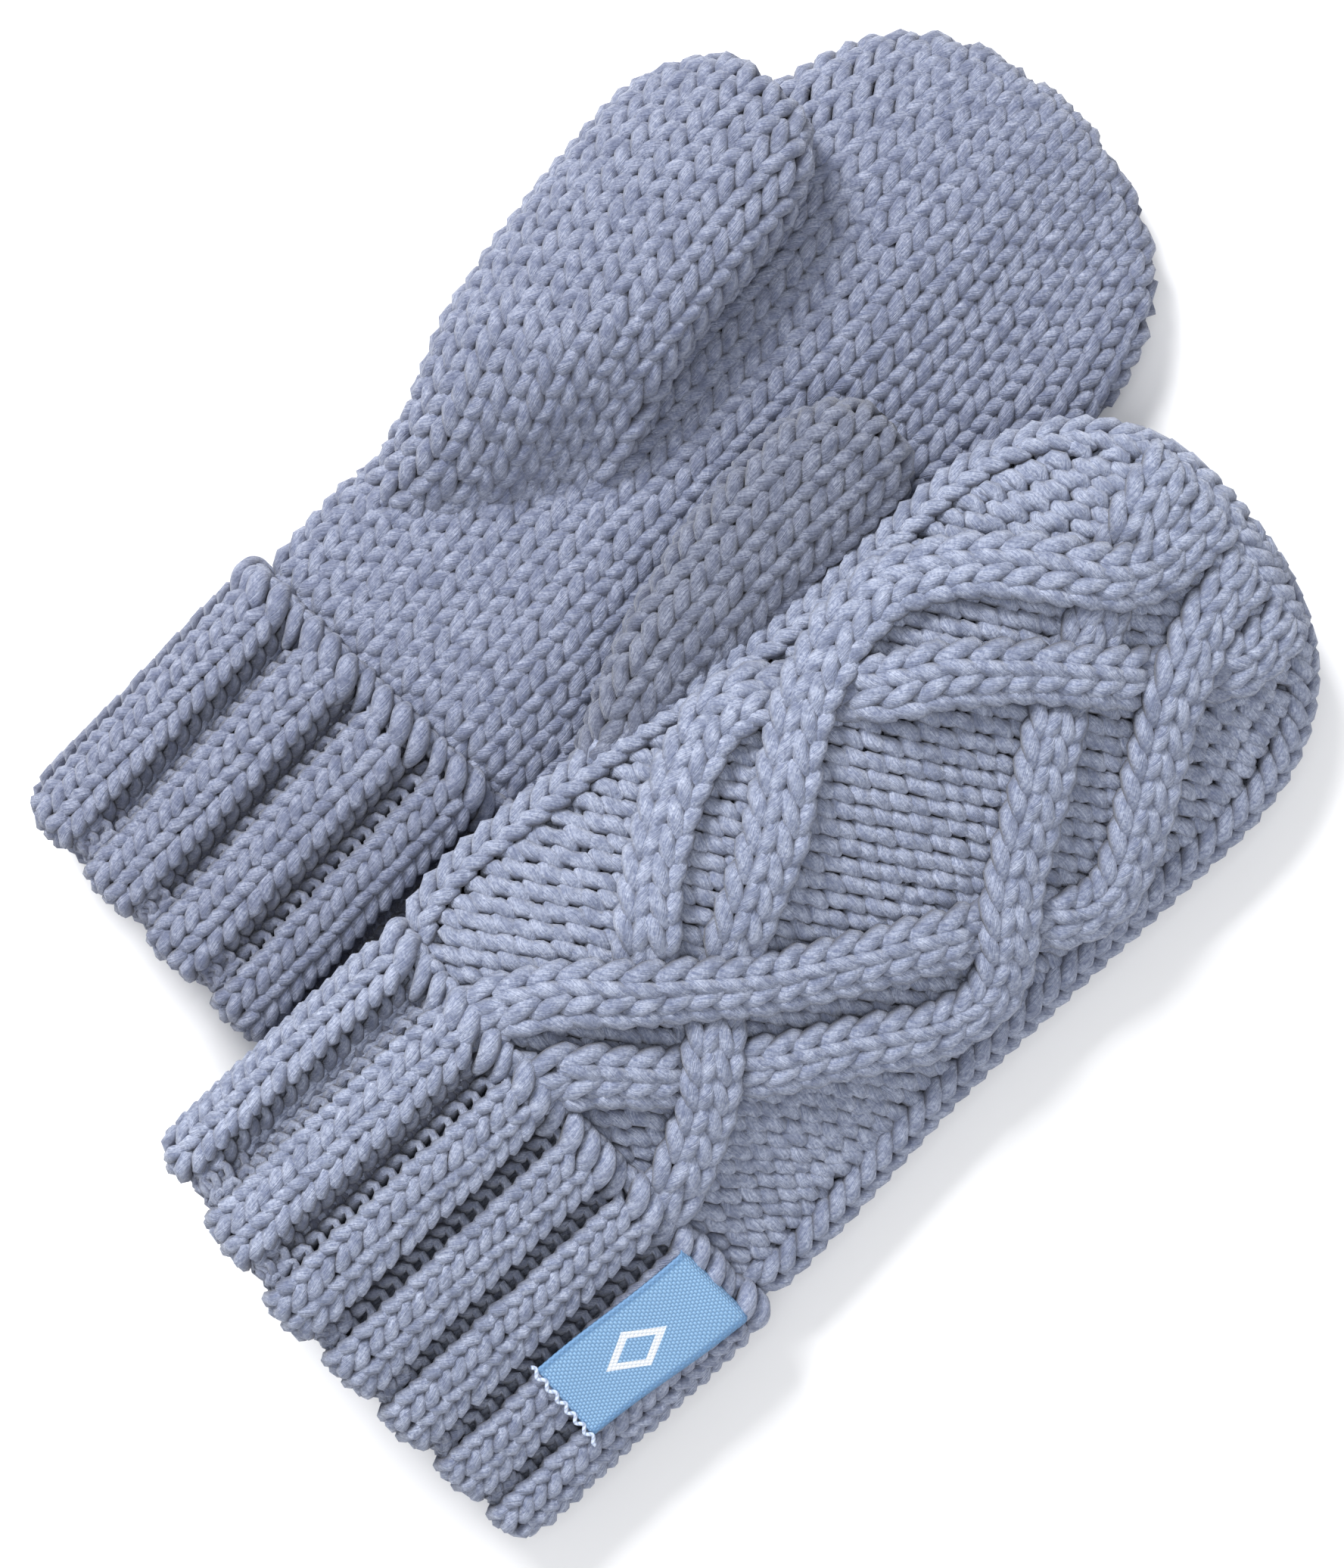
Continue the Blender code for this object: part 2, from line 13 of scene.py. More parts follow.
import bpy
import numpy as np
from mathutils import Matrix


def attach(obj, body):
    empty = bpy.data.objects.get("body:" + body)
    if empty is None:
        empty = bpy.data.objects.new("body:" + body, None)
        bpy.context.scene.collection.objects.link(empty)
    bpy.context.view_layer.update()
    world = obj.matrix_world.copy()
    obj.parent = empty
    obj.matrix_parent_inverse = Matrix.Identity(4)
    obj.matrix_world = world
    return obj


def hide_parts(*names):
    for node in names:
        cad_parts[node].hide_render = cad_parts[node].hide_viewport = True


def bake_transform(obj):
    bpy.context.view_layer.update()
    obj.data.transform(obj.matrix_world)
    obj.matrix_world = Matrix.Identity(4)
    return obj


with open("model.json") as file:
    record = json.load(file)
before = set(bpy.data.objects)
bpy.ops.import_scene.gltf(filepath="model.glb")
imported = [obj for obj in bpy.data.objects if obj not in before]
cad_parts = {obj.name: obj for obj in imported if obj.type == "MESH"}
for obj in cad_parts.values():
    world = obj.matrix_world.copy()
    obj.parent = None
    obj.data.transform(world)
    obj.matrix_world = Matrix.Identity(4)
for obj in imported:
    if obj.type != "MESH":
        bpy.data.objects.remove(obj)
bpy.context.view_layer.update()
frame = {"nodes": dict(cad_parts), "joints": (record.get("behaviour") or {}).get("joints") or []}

MM = 0.001
RNG = np.random.default_rng(7)

# ---- sizes that the CAD part has too

SECTION_POWER = 2.6
TIP_POWER = 2.5
CUFF_HALF_WIDTH, CUFF_HALF_HEIGHT, CUFF_LENGTH = 53.2, 14.2, 66.0
WRIST_HALF_WIDTH, HAND_HALF_WIDTH, HAND_HALF_HEIGHT = 50.5, 46.3, 12.0
PALM_FROM, TIP_FROM, MITTEN_LENGTH = 135.0, 192.0, 240.0
SETTLE = 0.8
PRESSED_SHARE, PRESS_FROM, PRESS_TO = 0.70, -5.0, 26.0
LIFT_HIGH, LIFT_LOW, LIFT_FROM, LIFT_TO = 18.3, -2.5, -18.0, 38.0
LEFT_THUMB_TIP, LEFT_THUMB_DOME = 203.5, 27.5
LEFT_THUMB_HALF_WIDTH, LEFT_THUMB_HALF_HEIGHT, LEFT_THUMB_REST = 21.3, 9.0, 23.7
RIGHT_THUMB_TIP, RIGHT_THUMB_INNER_X = 201.5, -48.9
RIGHT_THUMB_HALF_HEIGHT, RIGHT_THUMB_REST, RIGHT_THUMB_SLOPE = 8.6, 19.2, 0.185

# ---- how yarn is laid

YARN_INSET = 1.9
SOFT_TABLE = 4.0
SAMPLES = 14
SIDES = 7
HIDDEN_SAMPLES, HIDDEN_SIDES = 8, 5

TOP = (-math.pi / 2, math.pi / 2)
BOTTOM = (math.pi / 2, 3 * math.pi / 2)
ROUND = (-math.pi, math.pi)


def smooth(t):
    t = np.clip(t, 0.0, 1.0)
    return t * t * (3 - 2 * t)


def step(value, first, last):
    """0 up to first, 1 from last on, and smooth between them. first may be the larger one."""
    return smooth((value - first) / (last - first))


def eased(t):
    """0 to 1 as t goes from 0 to 1, straight in the middle and rounded over a tenth at each end."""
    corner = 0.1
    t = np.clip(t, -corner, 1 + corner)
    low = (t + corner) ** 2 / (4 * corner)
    high = 1 - (1 + corner - t) ** 2 / (4 * corner)
    return np.where(t < corner, low, np.where(t > 1 - corner, high, t))


def signed_power(value, exponent):
    return np.sign(value) * np.abs(value) ** exponent


def distances(line):
    """How far along the line each of its points is."""
    return np.concatenate([[0], np.cumsum(np.linalg.norm(np.diff(line, axis=0), axis=1))])


def places(x, y, z):
    """One array of points from their three coordinates."""
    return np.stack(np.broadcast_arrays(x, y, z), axis=-1)


def unit(vectors):
    return vectors / np.maximum(np.linalg.norm(vectors, axis=-1, keepdims=True), 1e-9)


# ---- the two mittens' frames, read from the CAD part

JOINTS = {joint["name"]: joint for joint in frame["joints"]}


class Mitten:
    """Where a mitten lies, and how the other one under or over it shapes it.

    gusset, tip_more and cuff_more say how much wider the hand, longer the tip and wider the cuff are than
    the CAD part's.
    """

    def __init__(self, prefix, settle, gusset, tip_more, cuff_more):
        self.prefix, self.settle = prefix, settle
        self.gusset, self.tip_more, self.cuff_more = gusset, tip_more, cuff_more
        self.body = prefix + "_mitten"
        axis = JOINTS[prefix + "_cuff_turn_down"]["axis"]
        turn = math.atan2(axis[0], -axis[1])
        self.cos, self.sin = math.cos(turn), math.sin(turn)
        node = frame["nodes"][prefix + "_turned_cuff"]
        points = np.array([v.co for v in node.data.vertices]) / MM
        across = points[:, 0] * self.cos + points[:, 1] * self.sin
        along = points[:, 1] * self.cos - points[:, 0] * self.sin
        middle, low = (across.min() + across.max()) / 2, along.min()
        self.origin = (middle * self.cos - low * self.sin, middle * self.sin + low * self.cos)

    def world(self, points):
        """World metres. Yarn that would sink into the table is pressed flat above it instead."""
        x, y, z = np.moveaxis(points, -1, 0)
        z = np.where(z < SOFT_TABLE, SOFT_TABLE * np.exp((z - SOFT_TABLE) / SOFT_TABLE), z)
        across = self.origin[0] + x * self.cos - y * self.sin
        along = self.origin[1] + x * self.sin + y * self.cos
        return MM * places(across, along, z)


def press(x):
    """How much of its height the left mitten keeps at x, where the right one lies on it."""
    return 1 - (1 - PRESSED_SHARE) * step(x, PRESS_FROM, PRESS_TO)


def lift(x):
    """How far the right mitten is raised at x by the left one under it."""
    return LIFT_HIGH + (LIFT_LOW - LIFT_HIGH) * eased((x - LIFT_FROM) / (LIFT_TO - LIFT_FROM))


def settle_left(x, y, z, inset):
    return places(x, y, np.maximum(z, inset) * press(x))


def settle_right(x, y, z, inset):
    return places(x, y, np.maximum(z + lift(x), inset))


LEFT = Mitten("left", settle_left, gusset=2.6, tip_more=1.8, cuff_more=2.2)
RIGHT = Mitten("right", settle_right, gusset=6.5, tip_more=0.0, cuff_more=0.8)


# ---- sheets


class Sheet:
    """A surface through point(angle, v), laid out by the distance s across it and v along it.

    s is 0 at the middle of its angles. A sheet that goes all round is a ring: s has no end on it.
    """

    COLUMNS = 361

    def __init__(self, point, rows, angles=ROUND):
        self.rows, self.ring = np.asarray(rows, float), angles == ROUND
        angle = np.linspace(*angles, self.COLUMNS)
        grid = point(angle[None, :], self.rows[:, None])
        length = np.array([distances(row) for row in grid])
        middle = np.array([np.interp(sum(angles) / 2, angle, row) for row in length])
        self.low, self.high = -middle, length[:, -1] - middle
        share = np.linspace(0, 1, self.COLUMNS)
        for row, total in enumerate(length):
            at = share * total[-1]
            grid[row] = np.stack([np.interp(at, total, grid[row, :, k]) for k in range(3)], axis=-1)
        normal = np.cross(np.gradient(grid, axis=1), np.gradient(grid, axis=0))
        self.grid = np.concatenate([grid, unit(normal)], axis=2)

    def row_of(self, v):
        return np.interp(v, self.rows, np.arange(len(self.rows)))

    def span(self, v):
        """The lowest and the highest s at v."""
        return np.interp(v, self.rows, self.low), np.interp(v, self.rows, self.high)

    def at(self, s, v):
        """(points, normals) at these places."""
        row = self.row_of(v)
        low, high = self.span(v)
        share = (s - low) / (high - low)
        share = share % 1.0 if self.ring else np.clip(share, 0, 1)
        column = share * (self.COLUMNS - 1)
        i = np.clip(row.astype(int), 0, len(self.rows) - 2)
        j = np.clip(column.astype(int), 0, self.COLUMNS - 2)
        f, g = (row - i)[..., None], (column - j)[..., None]
        cell = self.grid
        found = (1 - f) * ((1 - g) * cell[i, j] + g * cell[i, j + 1])
        found += f * ((1 - g) * cell[i + 1, j] + g * cell[i + 1, j + 1])
        return found[..., :3], unit(found[..., 3:])

    def locate(self, x, y):
        """The place (s, v) whose point has this x and y. The sheet must face mostly up or mostly down."""
        middle = self.at(np.zeros(len(self.rows)), self.rows)[0]
        v = np.interp(y, middle[:, 1], self.rows)
        found = []
        for x_one, v_one in zip(np.atleast_1d(x), np.atleast_1d(v)):
            low, high = self.span(v_one)
            s = np.linspace(low, high, 241)
            across = self.at(s, np.full_like(s, v_one))[0][:, 0]
            if across[0] > across[-1]:
                s, across = s[::-1], across[::-1]
            found.append(np.interp(x_one, across, s))
        return np.array(found), v


def ellipse(angle, half_width, half_height):
    """A point of a section: angle 0 is the top, a quarter turn is +x, half a turn is the bottom."""
    x = half_width * signed_power(np.sin(angle), 2 / SECTION_POWER)
    z = half_height * signed_power(np.cos(angle), 2 / SECTION_POWER)
    return x, z


def dome_profile(straight_y, straight_half, dome_from, length, half_width, half_height, powers):
    """Tables of v, y, half width and half height, from straight_y up to the end of a rounded tip."""
    angle = np.linspace(0, math.radians(87.5), 60)
    y = dome_from + length * np.sin(angle) ** powers[0]
    wide = half_width * np.cos(angle) ** powers[1]
    high = half_height * np.cos(angle) ** powers[2]
    y = np.concatenate([straight_y, y])
    wide = np.concatenate([straight_half, wide])
    high = np.concatenate([np.full(len(straight_y), half_height), high])
    v = y[0] + np.concatenate([[0], np.cumsum(np.hypot(np.diff(y), np.diff(high)))])
    return v, y, wide, high


GUSSET_FROM, GUSSET_FULL, GUSSET_WANES, GUSSET_TO = 40.0, 90.0, 115.0, 170.0


def thumb_side(x, y, gusset):
    """x, moved outwards on the thumb's side, where the hand widens at the root of the thumb."""
    bulge = gusset * step(y, GUSSET_FROM, GUSSET_FULL) * step(y, GUSSET_TO, GUSSET_WANES)
    return x * np.where(x < 0, 1 + bulge / HAND_HALF_WIDTH, 1.0)


def hand_half_width(y):
    return WRIST_HALF_WIDTH + (HAND_HALF_WIDTH - WRIST_HALF_WIDTH) * step(y, CUFF_LENGTH, PALM_FROM)


def hand_profile(first_y, inset, more=0.0):
    """The dome_profile of a surface that lies this much inside the hand's, made longer by more."""
    straight = np.linspace(first_y, TIP_FROM - 1, 64)
    return dome_profile(
        straight, hand_half_width(straight) - inset, TIP_FROM, MITTEN_LENGTH + more - TIP_FROM - inset,
        HAND_HALF_WIDTH - inset, HAND_HALF_HEIGHT - inset, (2 / TIP_POWER, 2 / TIP_POWER, 0.5),
    )


NECK_FROM, NECK_TO, NECK_DEPTH = 62.0, 73.0, 4.0


def hand_sheet(mitten, angles):
    """The hand's surface. Under the cuff it narrows to a neck, which the wrist ribbing carries on."""
    v, ys, wides, highs = hand_profile(NECK_FROM, YARN_INSET, mitten.tip_more)

    def point(angle, v_at):
        neck = NECK_DEPTH * step(v_at, NECK_TO, NECK_FROM)
        x, z = ellipse(angle, np.interp(v_at, v, wides) - neck, np.interp(v_at, v, highs) - neck)
        y = np.interp(v_at, v, ys)
        return mitten.settle(thumb_side(x, y, mitten.gusset), y, HAND_HALF_HEIGHT - SETTLE + z, YARN_INSET)

    return Sheet(point, v, angles)


FOLD_Y, FOLD_RADIUS, FOLD_CORNER = 4.6, 3.1, 6.5
SKEW_FROM, SKEW_TO, SKEW_TOP, WIDER_TO = -12.0, -50.0, 34.0, -45.0
CUFF_SHEET_TO = 70.0


def cuff_sheet(mitten, inset, corner_rise):
    """The turned cuff's surface. Below its fold it turns inwards and a little way up again.

    The fold's corners are rounded, and the one on the thumb's side rises by corner_rise more.
    """

    def point(angle, v_at):
        turned = np.clip((FOLD_Y - v_at) / FOLD_RADIUS, 0, math.pi)
        depth = inset + FOLD_RADIUS * (1 - np.cos(turned))
        x, z = ellipse(angle, CUFF_HALF_WIDTH - depth, CUFF_HALF_HEIGHT - depth)
        y = np.where(turned > 0, FOLD_Y - FOLD_RADIUS * np.sin(turned), v_at)
        beyond = np.clip((np.abs(x) - (CUFF_HALF_WIDTH - FOLD_CORNER)) / FOLD_CORNER, 0, 1)
        rise = FOLD_CORNER * (1 - np.sqrt(1 - beyond**2)) + corner_rise * step(x, SKEW_FROM, SKEW_TO)
        x = x - mitten.cuff_more * step(x, 0, WIDER_TO)
        return mitten.settle(x, y + rise * step(y, SKEW_TOP, 0), CUFF_HALF_HEIGHT - SETTLE + z, inset)

    fold = np.linspace(FOLD_Y - math.pi * FOLD_RADIUS, FOLD_Y, 13)
    straight = np.linspace(FOLD_Y + 0.5, CUFF_SHEET_TO, 50)
    return Sheet(point, np.concatenate([fold, straight]))


LEFT_THUMB_FROM, LEFT_THUMB_RISEN = 82.0, 132.0
LEFT_THUMB_X, LEFT_THUMB_CURVE, LEFT_THUMB_CURVE_Y = -43.8, 0.0017, 186.0
LEFT_THUMB_DROOP, LEFT_THUMB_DROOP_X = 0.008, -30.0
THUMB_ROOT_RIGHT, THUMB_ROOT_Y, THUMB_ROOT_DEEP, THUMB_ROOT_SUNK = -15.0, 110.0, 3.2, 2.4
CROTCH_FROM, CROTCH_RISEN, CROTCH_SHARES = 113.0, 158.0, (0.2, 0.95)


def thumb_root(palm):
    """The s at which the left thumb's root ends on the palm."""
    return palm.locate(THUMB_ROOT_RIGHT, THUMB_ROOT_Y)[0][0]


def left_thumb_sheet(palm, inset=YARN_INSET, first_y=LEFT_THUMB_FROM):
    """The left thumb, which grows out of the palm: at its root it lies in the palm's own surface."""
    straight = np.linspace(first_y, LEFT_THUMB_TIP - LEFT_THUMB_DOME - 1, 60)
    v, ys, wides, highs = dome_profile(
        straight, np.full(60, LEFT_THUMB_HALF_WIDTH - inset), LEFT_THUMB_TIP - LEFT_THUMB_DOME,
        LEFT_THUMB_DOME - inset, LEFT_THUMB_HALF_WIDTH - inset, LEFT_THUMB_HALF_HEIGHT - inset,
        (1.0, 0.9, 0.54),
    )
    root_s = thumb_root(palm)

    def point(angle, v_at):
        y = np.interp(v_at, v, ys)
        x, z = ellipse(angle, np.interp(v_at, v, wides), np.interp(v_at, v, highs))
        x = x + LEFT_THUMB_X + LEFT_THUMB_CURVE * (LEFT_THUMB_CURVE_Y - y) ** 2
        droop = LEFT_THUMB_DROOP * np.maximum(LEFT_THUMB_DROOP_X - x, 0) ** 2
        z = z + LEFT_THUMB_HALF_HEIGHT + LEFT_THUMB_REST - droop
        free = places(x, y, z)
        share = 0.5 + 0.5 * np.sin(angle)
        at_crotch = step(share, *CROTCH_SHARES)
        first = LEFT_THUMB_FROM + (CROTCH_FROM - LEFT_THUMB_FROM) * at_crotch
        last = LEFT_THUMB_RISEN + (CROTCH_RISEN - LEFT_THUMB_RISEN) * at_crotch
        risen = step(y, first, last)
        edge, _ = palm.span(y)
        s = edge + (root_s - edge) * share
        points, normals = palm.at(*np.broadcast_arrays(s, y))
        under = THUMB_ROOT_DEEP * np.clip(-np.cos(angle), 0, 1) ** 0.5 + inset - YARN_INSET
        merged = points - normals * (under + THUMB_ROOT_SUNK * (1 - risen) ** 3)[..., None]
        return merged + (free - merged) * risen[..., None]

    return Sheet(point, v)


RIGHT_THUMB_FROM, RIGHT_THUMB_GROWN, RIGHT_THUMB_DOME = 84.0, 134.0, 20.0
RIGHT_THUMB_TUCKED, RIGHT_THUMB_ROOT_TUCKED, TUCKED_FROM, TUCKED_TO = 3.8, 8.0, 132.0, 87.0
RIGHT_THUMB_THINNEST, RIGHT_THUMB_ROOT_SHARE = 0.4, 0.6
RIGHT_THUMB_EDGE = [(80, -45.0), (96, -48.5), (109, -52.0), (117, -55.5), (124, -59.5), (132, -63.4),
                    (140, -66.8), (156, -71.0), (166, -73.2), (178, -74.3), (190, -74.0), (210, -73.0)]


def right_thumb_sheet(inset=YARN_INSET, first_y=RIGHT_THUMB_FROM):
    """The right thumb, which comes out from under the hand's edge and swells towards its tip.

    RIGHT_THUMB_EDGE holds places (y, x) of its outer edge.
    """
    edge_y = np.arange(80.0, 210.0)
    edge_x = np.pad(np.interp(edge_y, *zip(*RIGHT_THUMB_EDGE)), 6, mode="edge")
    edge_x = np.convolve(edge_x, np.full(13, 1 / 13), "valid")
    straight = np.linspace(first_y, RIGHT_THUMB_TIP - RIGHT_THUMB_DOME - 1, 48)
    v, ys, shares, highs = dome_profile(
        straight, np.ones(48), RIGHT_THUMB_TIP - RIGHT_THUMB_DOME, RIGHT_THUMB_DOME - inset, 1.0,
        RIGHT_THUMB_HALF_HEIGHT - inset, (1.0, 0.8, 0.5),
    )

    def point(angle, v_at):
        y = np.interp(v_at, v, ys)
        outer = np.interp(y, edge_y, edge_x)
        tucked_in = RIGHT_THUMB_ROOT_TUCKED * step(y, TUCKED_FROM, TUCKED_TO)
        inner = RIGHT_THUMB_INNER_X + RIGHT_THUMB_TUCKED + tucked_in
        half = (inner - outer) / 2
        wide = np.maximum(half * np.interp(v_at, v, shares) - inset, RIGHT_THUMB_THINNEST)
        grown = step(y, RIGHT_THUMB_FROM, RIGHT_THUMB_GROWN)
        grown = RIGHT_THUMB_ROOT_SHARE + (1 - RIGHT_THUMB_ROOT_SHARE) * grown
        x, z = ellipse(angle, wide, np.interp(v_at, v, highs) * grown)
        x = x + (outer + inner) / 2
        z = z + RIGHT_THUMB_HALF_HEIGHT + RIGHT_THUMB_REST - RIGHT_THUMB_SLOPE * (x - RIGHT_THUMB_INNER_X)
        return places(x, y, z)

    return Sheet(point, v)


# ---- strands: the yarn's path, its normals and its thickness


class Strand:
    """A length of yarn. shade, from 0 to 1, is painted shade: how deep in a crease it lies."""

    def __init__(self, points, normals, radii, closed=False, shade=0.0):
        self.points, self.normals, self.closed = points, normals, closed
        self.radii = np.zeros(len(points)) + radii
        self.shade = np.zeros(len(points)) + shade


def strand_over(sheet, s, v, out, radii, closed=False, shade=0.0):
    """The strand through these places, raised from the sheet by out."""
    points, normals = sheet.at(s, v)
    return Strand(points + normals * out[:, None], normals, radii, closed, shade)


@dataclass
class Stitch:
    """The shape of one knitted loop.

    height, depth and radius are in mm. swing, lean and slant say how its legs lie, as shares of its width
    or, for slant, in mm. leaf and fat say how its thickness changes along it. up is -1 if it is upside down.
    """

    height: float
    depth: float
    radius: float
    leaf: float
    swing: float = 0.27
    lean: float = 0.0
    fat: float = 0.0
    up: int = 1
    slant: float = 0.0


@dataclass
class Band:
    """A band, wales stitches wide, whose middle stands base + crown above the sheet and its sides base."""

    stitch: Stitch
    wales: int
    wale: float
    row: float
    base: float
    crown: float


def wobble(count, amount):
    """Smooth noise, one value for each of count places, that changes over about a stitch."""
    knots = RNG.normal(0, amount, max(count // SAMPLES + 3, 4))
    return np.interp(np.linspace(0, len(knots) - 1, count), np.arange(len(knots)), knots)


def thickness(stitch, phase):
    """The yarn's radius along a loop."""
    return stitch.radius * (1 - stitch.leaf * np.cos(2 * phase)) * (1 + stitch.fat * np.sin(phase))


def lay(sheet, stitch, wale, s, v, face=1.0, relief=0.0, closed=False, shade=0.0):
    """A strand through the stitches of one course. wale counts stitches; s and v are the course's line.

    face is 1 for plain and -1 for purl, and relief is how far the course stands off the sheet.
    """
    phase = 2 * math.pi * (wale - 0.5)
    width = np.abs(np.gradient(s) / np.gradient(wale))
    count = len(s)
    across = stitch.swing * np.sin(2 * phase) + stitch.lean * np.cos(phase) + wobble(count, 0.035)
    rise = stitch.height * np.cos(phase) + stitch.slant * np.sin(2 * phase)
    v_at = v + stitch.up * (rise + wobble(count, 0.16))
    out = relief - face * stitch.depth * np.cos(2 * phase) + wobble(count, 0.14)
    radii = thickness(stitch, phase) * (1 + wobble(count, 0.035))
    return strand_over(sheet, s + width * across, v_at, out, radii, closed, shade)


TUCK_LENGTH, TUCK_DEPTH, TUCK_THINNER = 2.6, 2.4, 0.45


def tucked(strand):
    """The strand with both of its ends turned down into the fabric."""
    along = distances(strand.points)
    near = smooth(1 - np.minimum(along, along[-1] - along) / TUCK_LENGTH)
    strand.points = strand.points - strand.normals * (TUCK_DEPTH * near)[:, None]
    strand.radii = strand.radii * (1 - TUCK_THINNER * near)
    return strand


def runs(mask, least):
    """The (first, last) of each stretch where mask holds for at least this many samples."""
    edges = np.flatnonzero(np.diff(np.concatenate([[0], mask.astype(int), [0]])))
    return [(a, b) for a, b in zip(edges[::2], edges[1::2]) if b - a >= least]


# ---- meshes


def make_object(name, kind, points, faces, layers, material):
    """A smooth mesh object, named after its mesh and its kind.

    points are in world metres. faces holds arrays of corners, one array for each number of sides. layers
    holds the UV coordinates of every corner by the layer's name.
    """
    mesh = bpy.data.meshes.new(name)
    mesh.vertices.add(len(points))
    mesh.loops.add(sum(part.size for part in faces))
    mesh.polygons.add(sum(len(part) for part in faces))
    corners = np.concatenate([part.ravel() for part in faces])
    mesh.loops.foreach_set("vertex_index", corners.astype(np.int32))
    sides = np.concatenate([np.full(len(part), part.shape[1]) for part in faces])
    mesh.polygons.foreach_set("loop_start", (np.cumsum(sides) - sides).astype(np.int32))
    for layer, values in layers.items():
        mesh.uv_layers.new(name=layer).data.foreach_set("uv", values.astype(np.float32).ravel())
    mesh.vertices.foreach_set("co", points.astype(np.float32).ravel())
    mesh.update(calc_edges=True)
    mesh.polygons.foreach_set("use_smooth", np.ones(len(mesh.polygons), bool))
    mesh.validate()
    return add_object(name + "_" + kind, mesh, material)


def add_object(name, mesh, material):
    mesh.materials.append(material)
    obj = bpy.data.objects.new(name, mesh)
    bpy.context.scene.collection.objects.link(obj)
    return obj


def cells_for(strands):
    """Where each strand's strip lies in the unit square: columns side by side, filled from the bottom."""
    lengths = [distances(s.points)[-1] + 4 for s in strands]
    girth = 2 * math.pi * max(s.radii.max() for s in strands)
    across = max(1, round(math.sqrt(len(strands) * girth / max(lengths))))
    down = math.ceil(len(strands) / across)
    return [((k % across) / across, (k // across) / down, 1 / across, 1 / down) for k in range(len(strands))]


def tube_points(strand, sides):
    """The rings of points round a strand."""
    centre = strand.points
    tangent = np.gradient(centre, axis=0)
    if strand.closed:
        tangent = np.roll(centre, -1, axis=0) - np.roll(centre, 1, axis=0)
    side = unit(np.cross(tangent, strand.normals))
    up = unit(np.cross(side, tangent))
    turn = np.arange(sides) / sides * 2 * math.pi
    ring = side[:, None] * np.cos(turn)[None, :, None] + up[:, None] * np.sin(turn)[None, :, None]
    return (centre[:, None] + ring * strand.radii[:, None, None]).reshape(-1, 3)


def add_yarn(name, mitten, strands, material, sides=SIDES):
    """One object of round tubes. Its layer 'yarn' holds mm along each strand and turns round it."""
    points, quads, caps, along_uv, bake_uv, cap_uv, shade_uv = [], [], [], [], [], [], []
    first = 0
    for strand, (left, low, wide, high) in zip(strands, cells_for(strands)):
        centre, count = strand.points, len(strand.points)
        points.append(tube_points(strand, sides))
        last = count if strand.closed else count - 1
        i, j = np.meshgrid(np.arange(last), np.arange(sides), indexing="ij")
        i2, j2 = (i + 1) % count, (j + 1) % sides
        corners = np.stack([i * sides + j, i * sides + j2, i2 * sides + j2, i2 * sides + j], axis=-1)
        quads.append(first + corners.reshape(-1, 4))
        mm = distances(np.concatenate([centre, centre[:1]]))
        u = np.stack([mm[i], mm[i], mm[i + 1], mm[i + 1]], axis=-1)
        round_it = np.stack([j, j + 1, j + 1, j], axis=-1) / sides
        along_uv.append(np.stack([u, round_it], axis=-1).reshape(-1, 2))
        shade = strand.shade[np.stack([i, i, i2, i2], axis=-1)]
        shade_uv.append(np.stack([shade, 0 * shade], axis=-1).reshape(-1, 2))
        share = np.stack([i, i, i + 1, i + 1], axis=-1) / last
        across, up = left + wide * (0.01 + 0.98 * share), low + high * (0.03 + 0.94 * round_it)
        bake_uv.append(np.stack([across, up], axis=-1).reshape(-1, 2))
        if not strand.closed:
            ends = np.stack([np.arange(sides)[::-1], (count - 1) * sides + np.arange(sides)])
            caps.append(first + ends)
            cap_uv.append(np.tile([left + wide * 0.005, low + high * 0.5], (2 * sides, 1)))
        first += count * sides
    faces = [np.concatenate(quads)]
    zeros, cap_bake = np.zeros((0, 2)), np.zeros((0, 2))
    if caps:
        faces.append(np.concatenate(caps))
        zeros, cap_bake = np.zeros((faces[1].size, 2)), np.concatenate(cap_uv)
    layers = {
        "OFBake": np.concatenate([*bake_uv, cap_bake]),
        "yarn": np.concatenate([*along_uv, zeros]),
        "shade": np.concatenate([*shade_uv, zeros]),
    }
    return make_object(name, "yarn", mitten.world(np.concatenate(points)), faces, layers, material)


def add_grid(name, mitten, grid, material, cloth_uv=None):
    """A smooth surface through a grid of points whose last column joins the first.

    Its layer 'cloth' holds cloth_uv of the column and the row of each corner.
    """
    rows, columns = grid.shape[:2]
    i, j = np.meshgrid(np.arange(rows - 1), np.arange(columns), indexing="ij")
    j2 = (j + 1) % columns
    corners = [i * columns + j, i * columns + j2, (i + 1) * columns + j2, (i + 1) * columns + j]
    quads = np.stack(corners, axis=-1).reshape(-1, 4)
    u = np.stack([j, j + 1, j + 1, j], axis=-1).reshape(-1)
    v = np.stack([i, i, i + 1, i + 1], axis=-1).reshape(-1)
    bake = np.stack([0.01 + 0.98 * u / columns, 0.01 + 0.98 * v / (rows - 1)], axis=-1)
    cloth = np.stack(cloth_uv(u, v) if cloth_uv else (u, v), axis=-1)
    layers = {"OFBake": bake, "cloth": cloth}
    return make_object(name, "cloth", mitten.world(grid.reshape(-1, 3)), [quads], layers, material)


# ---- materials


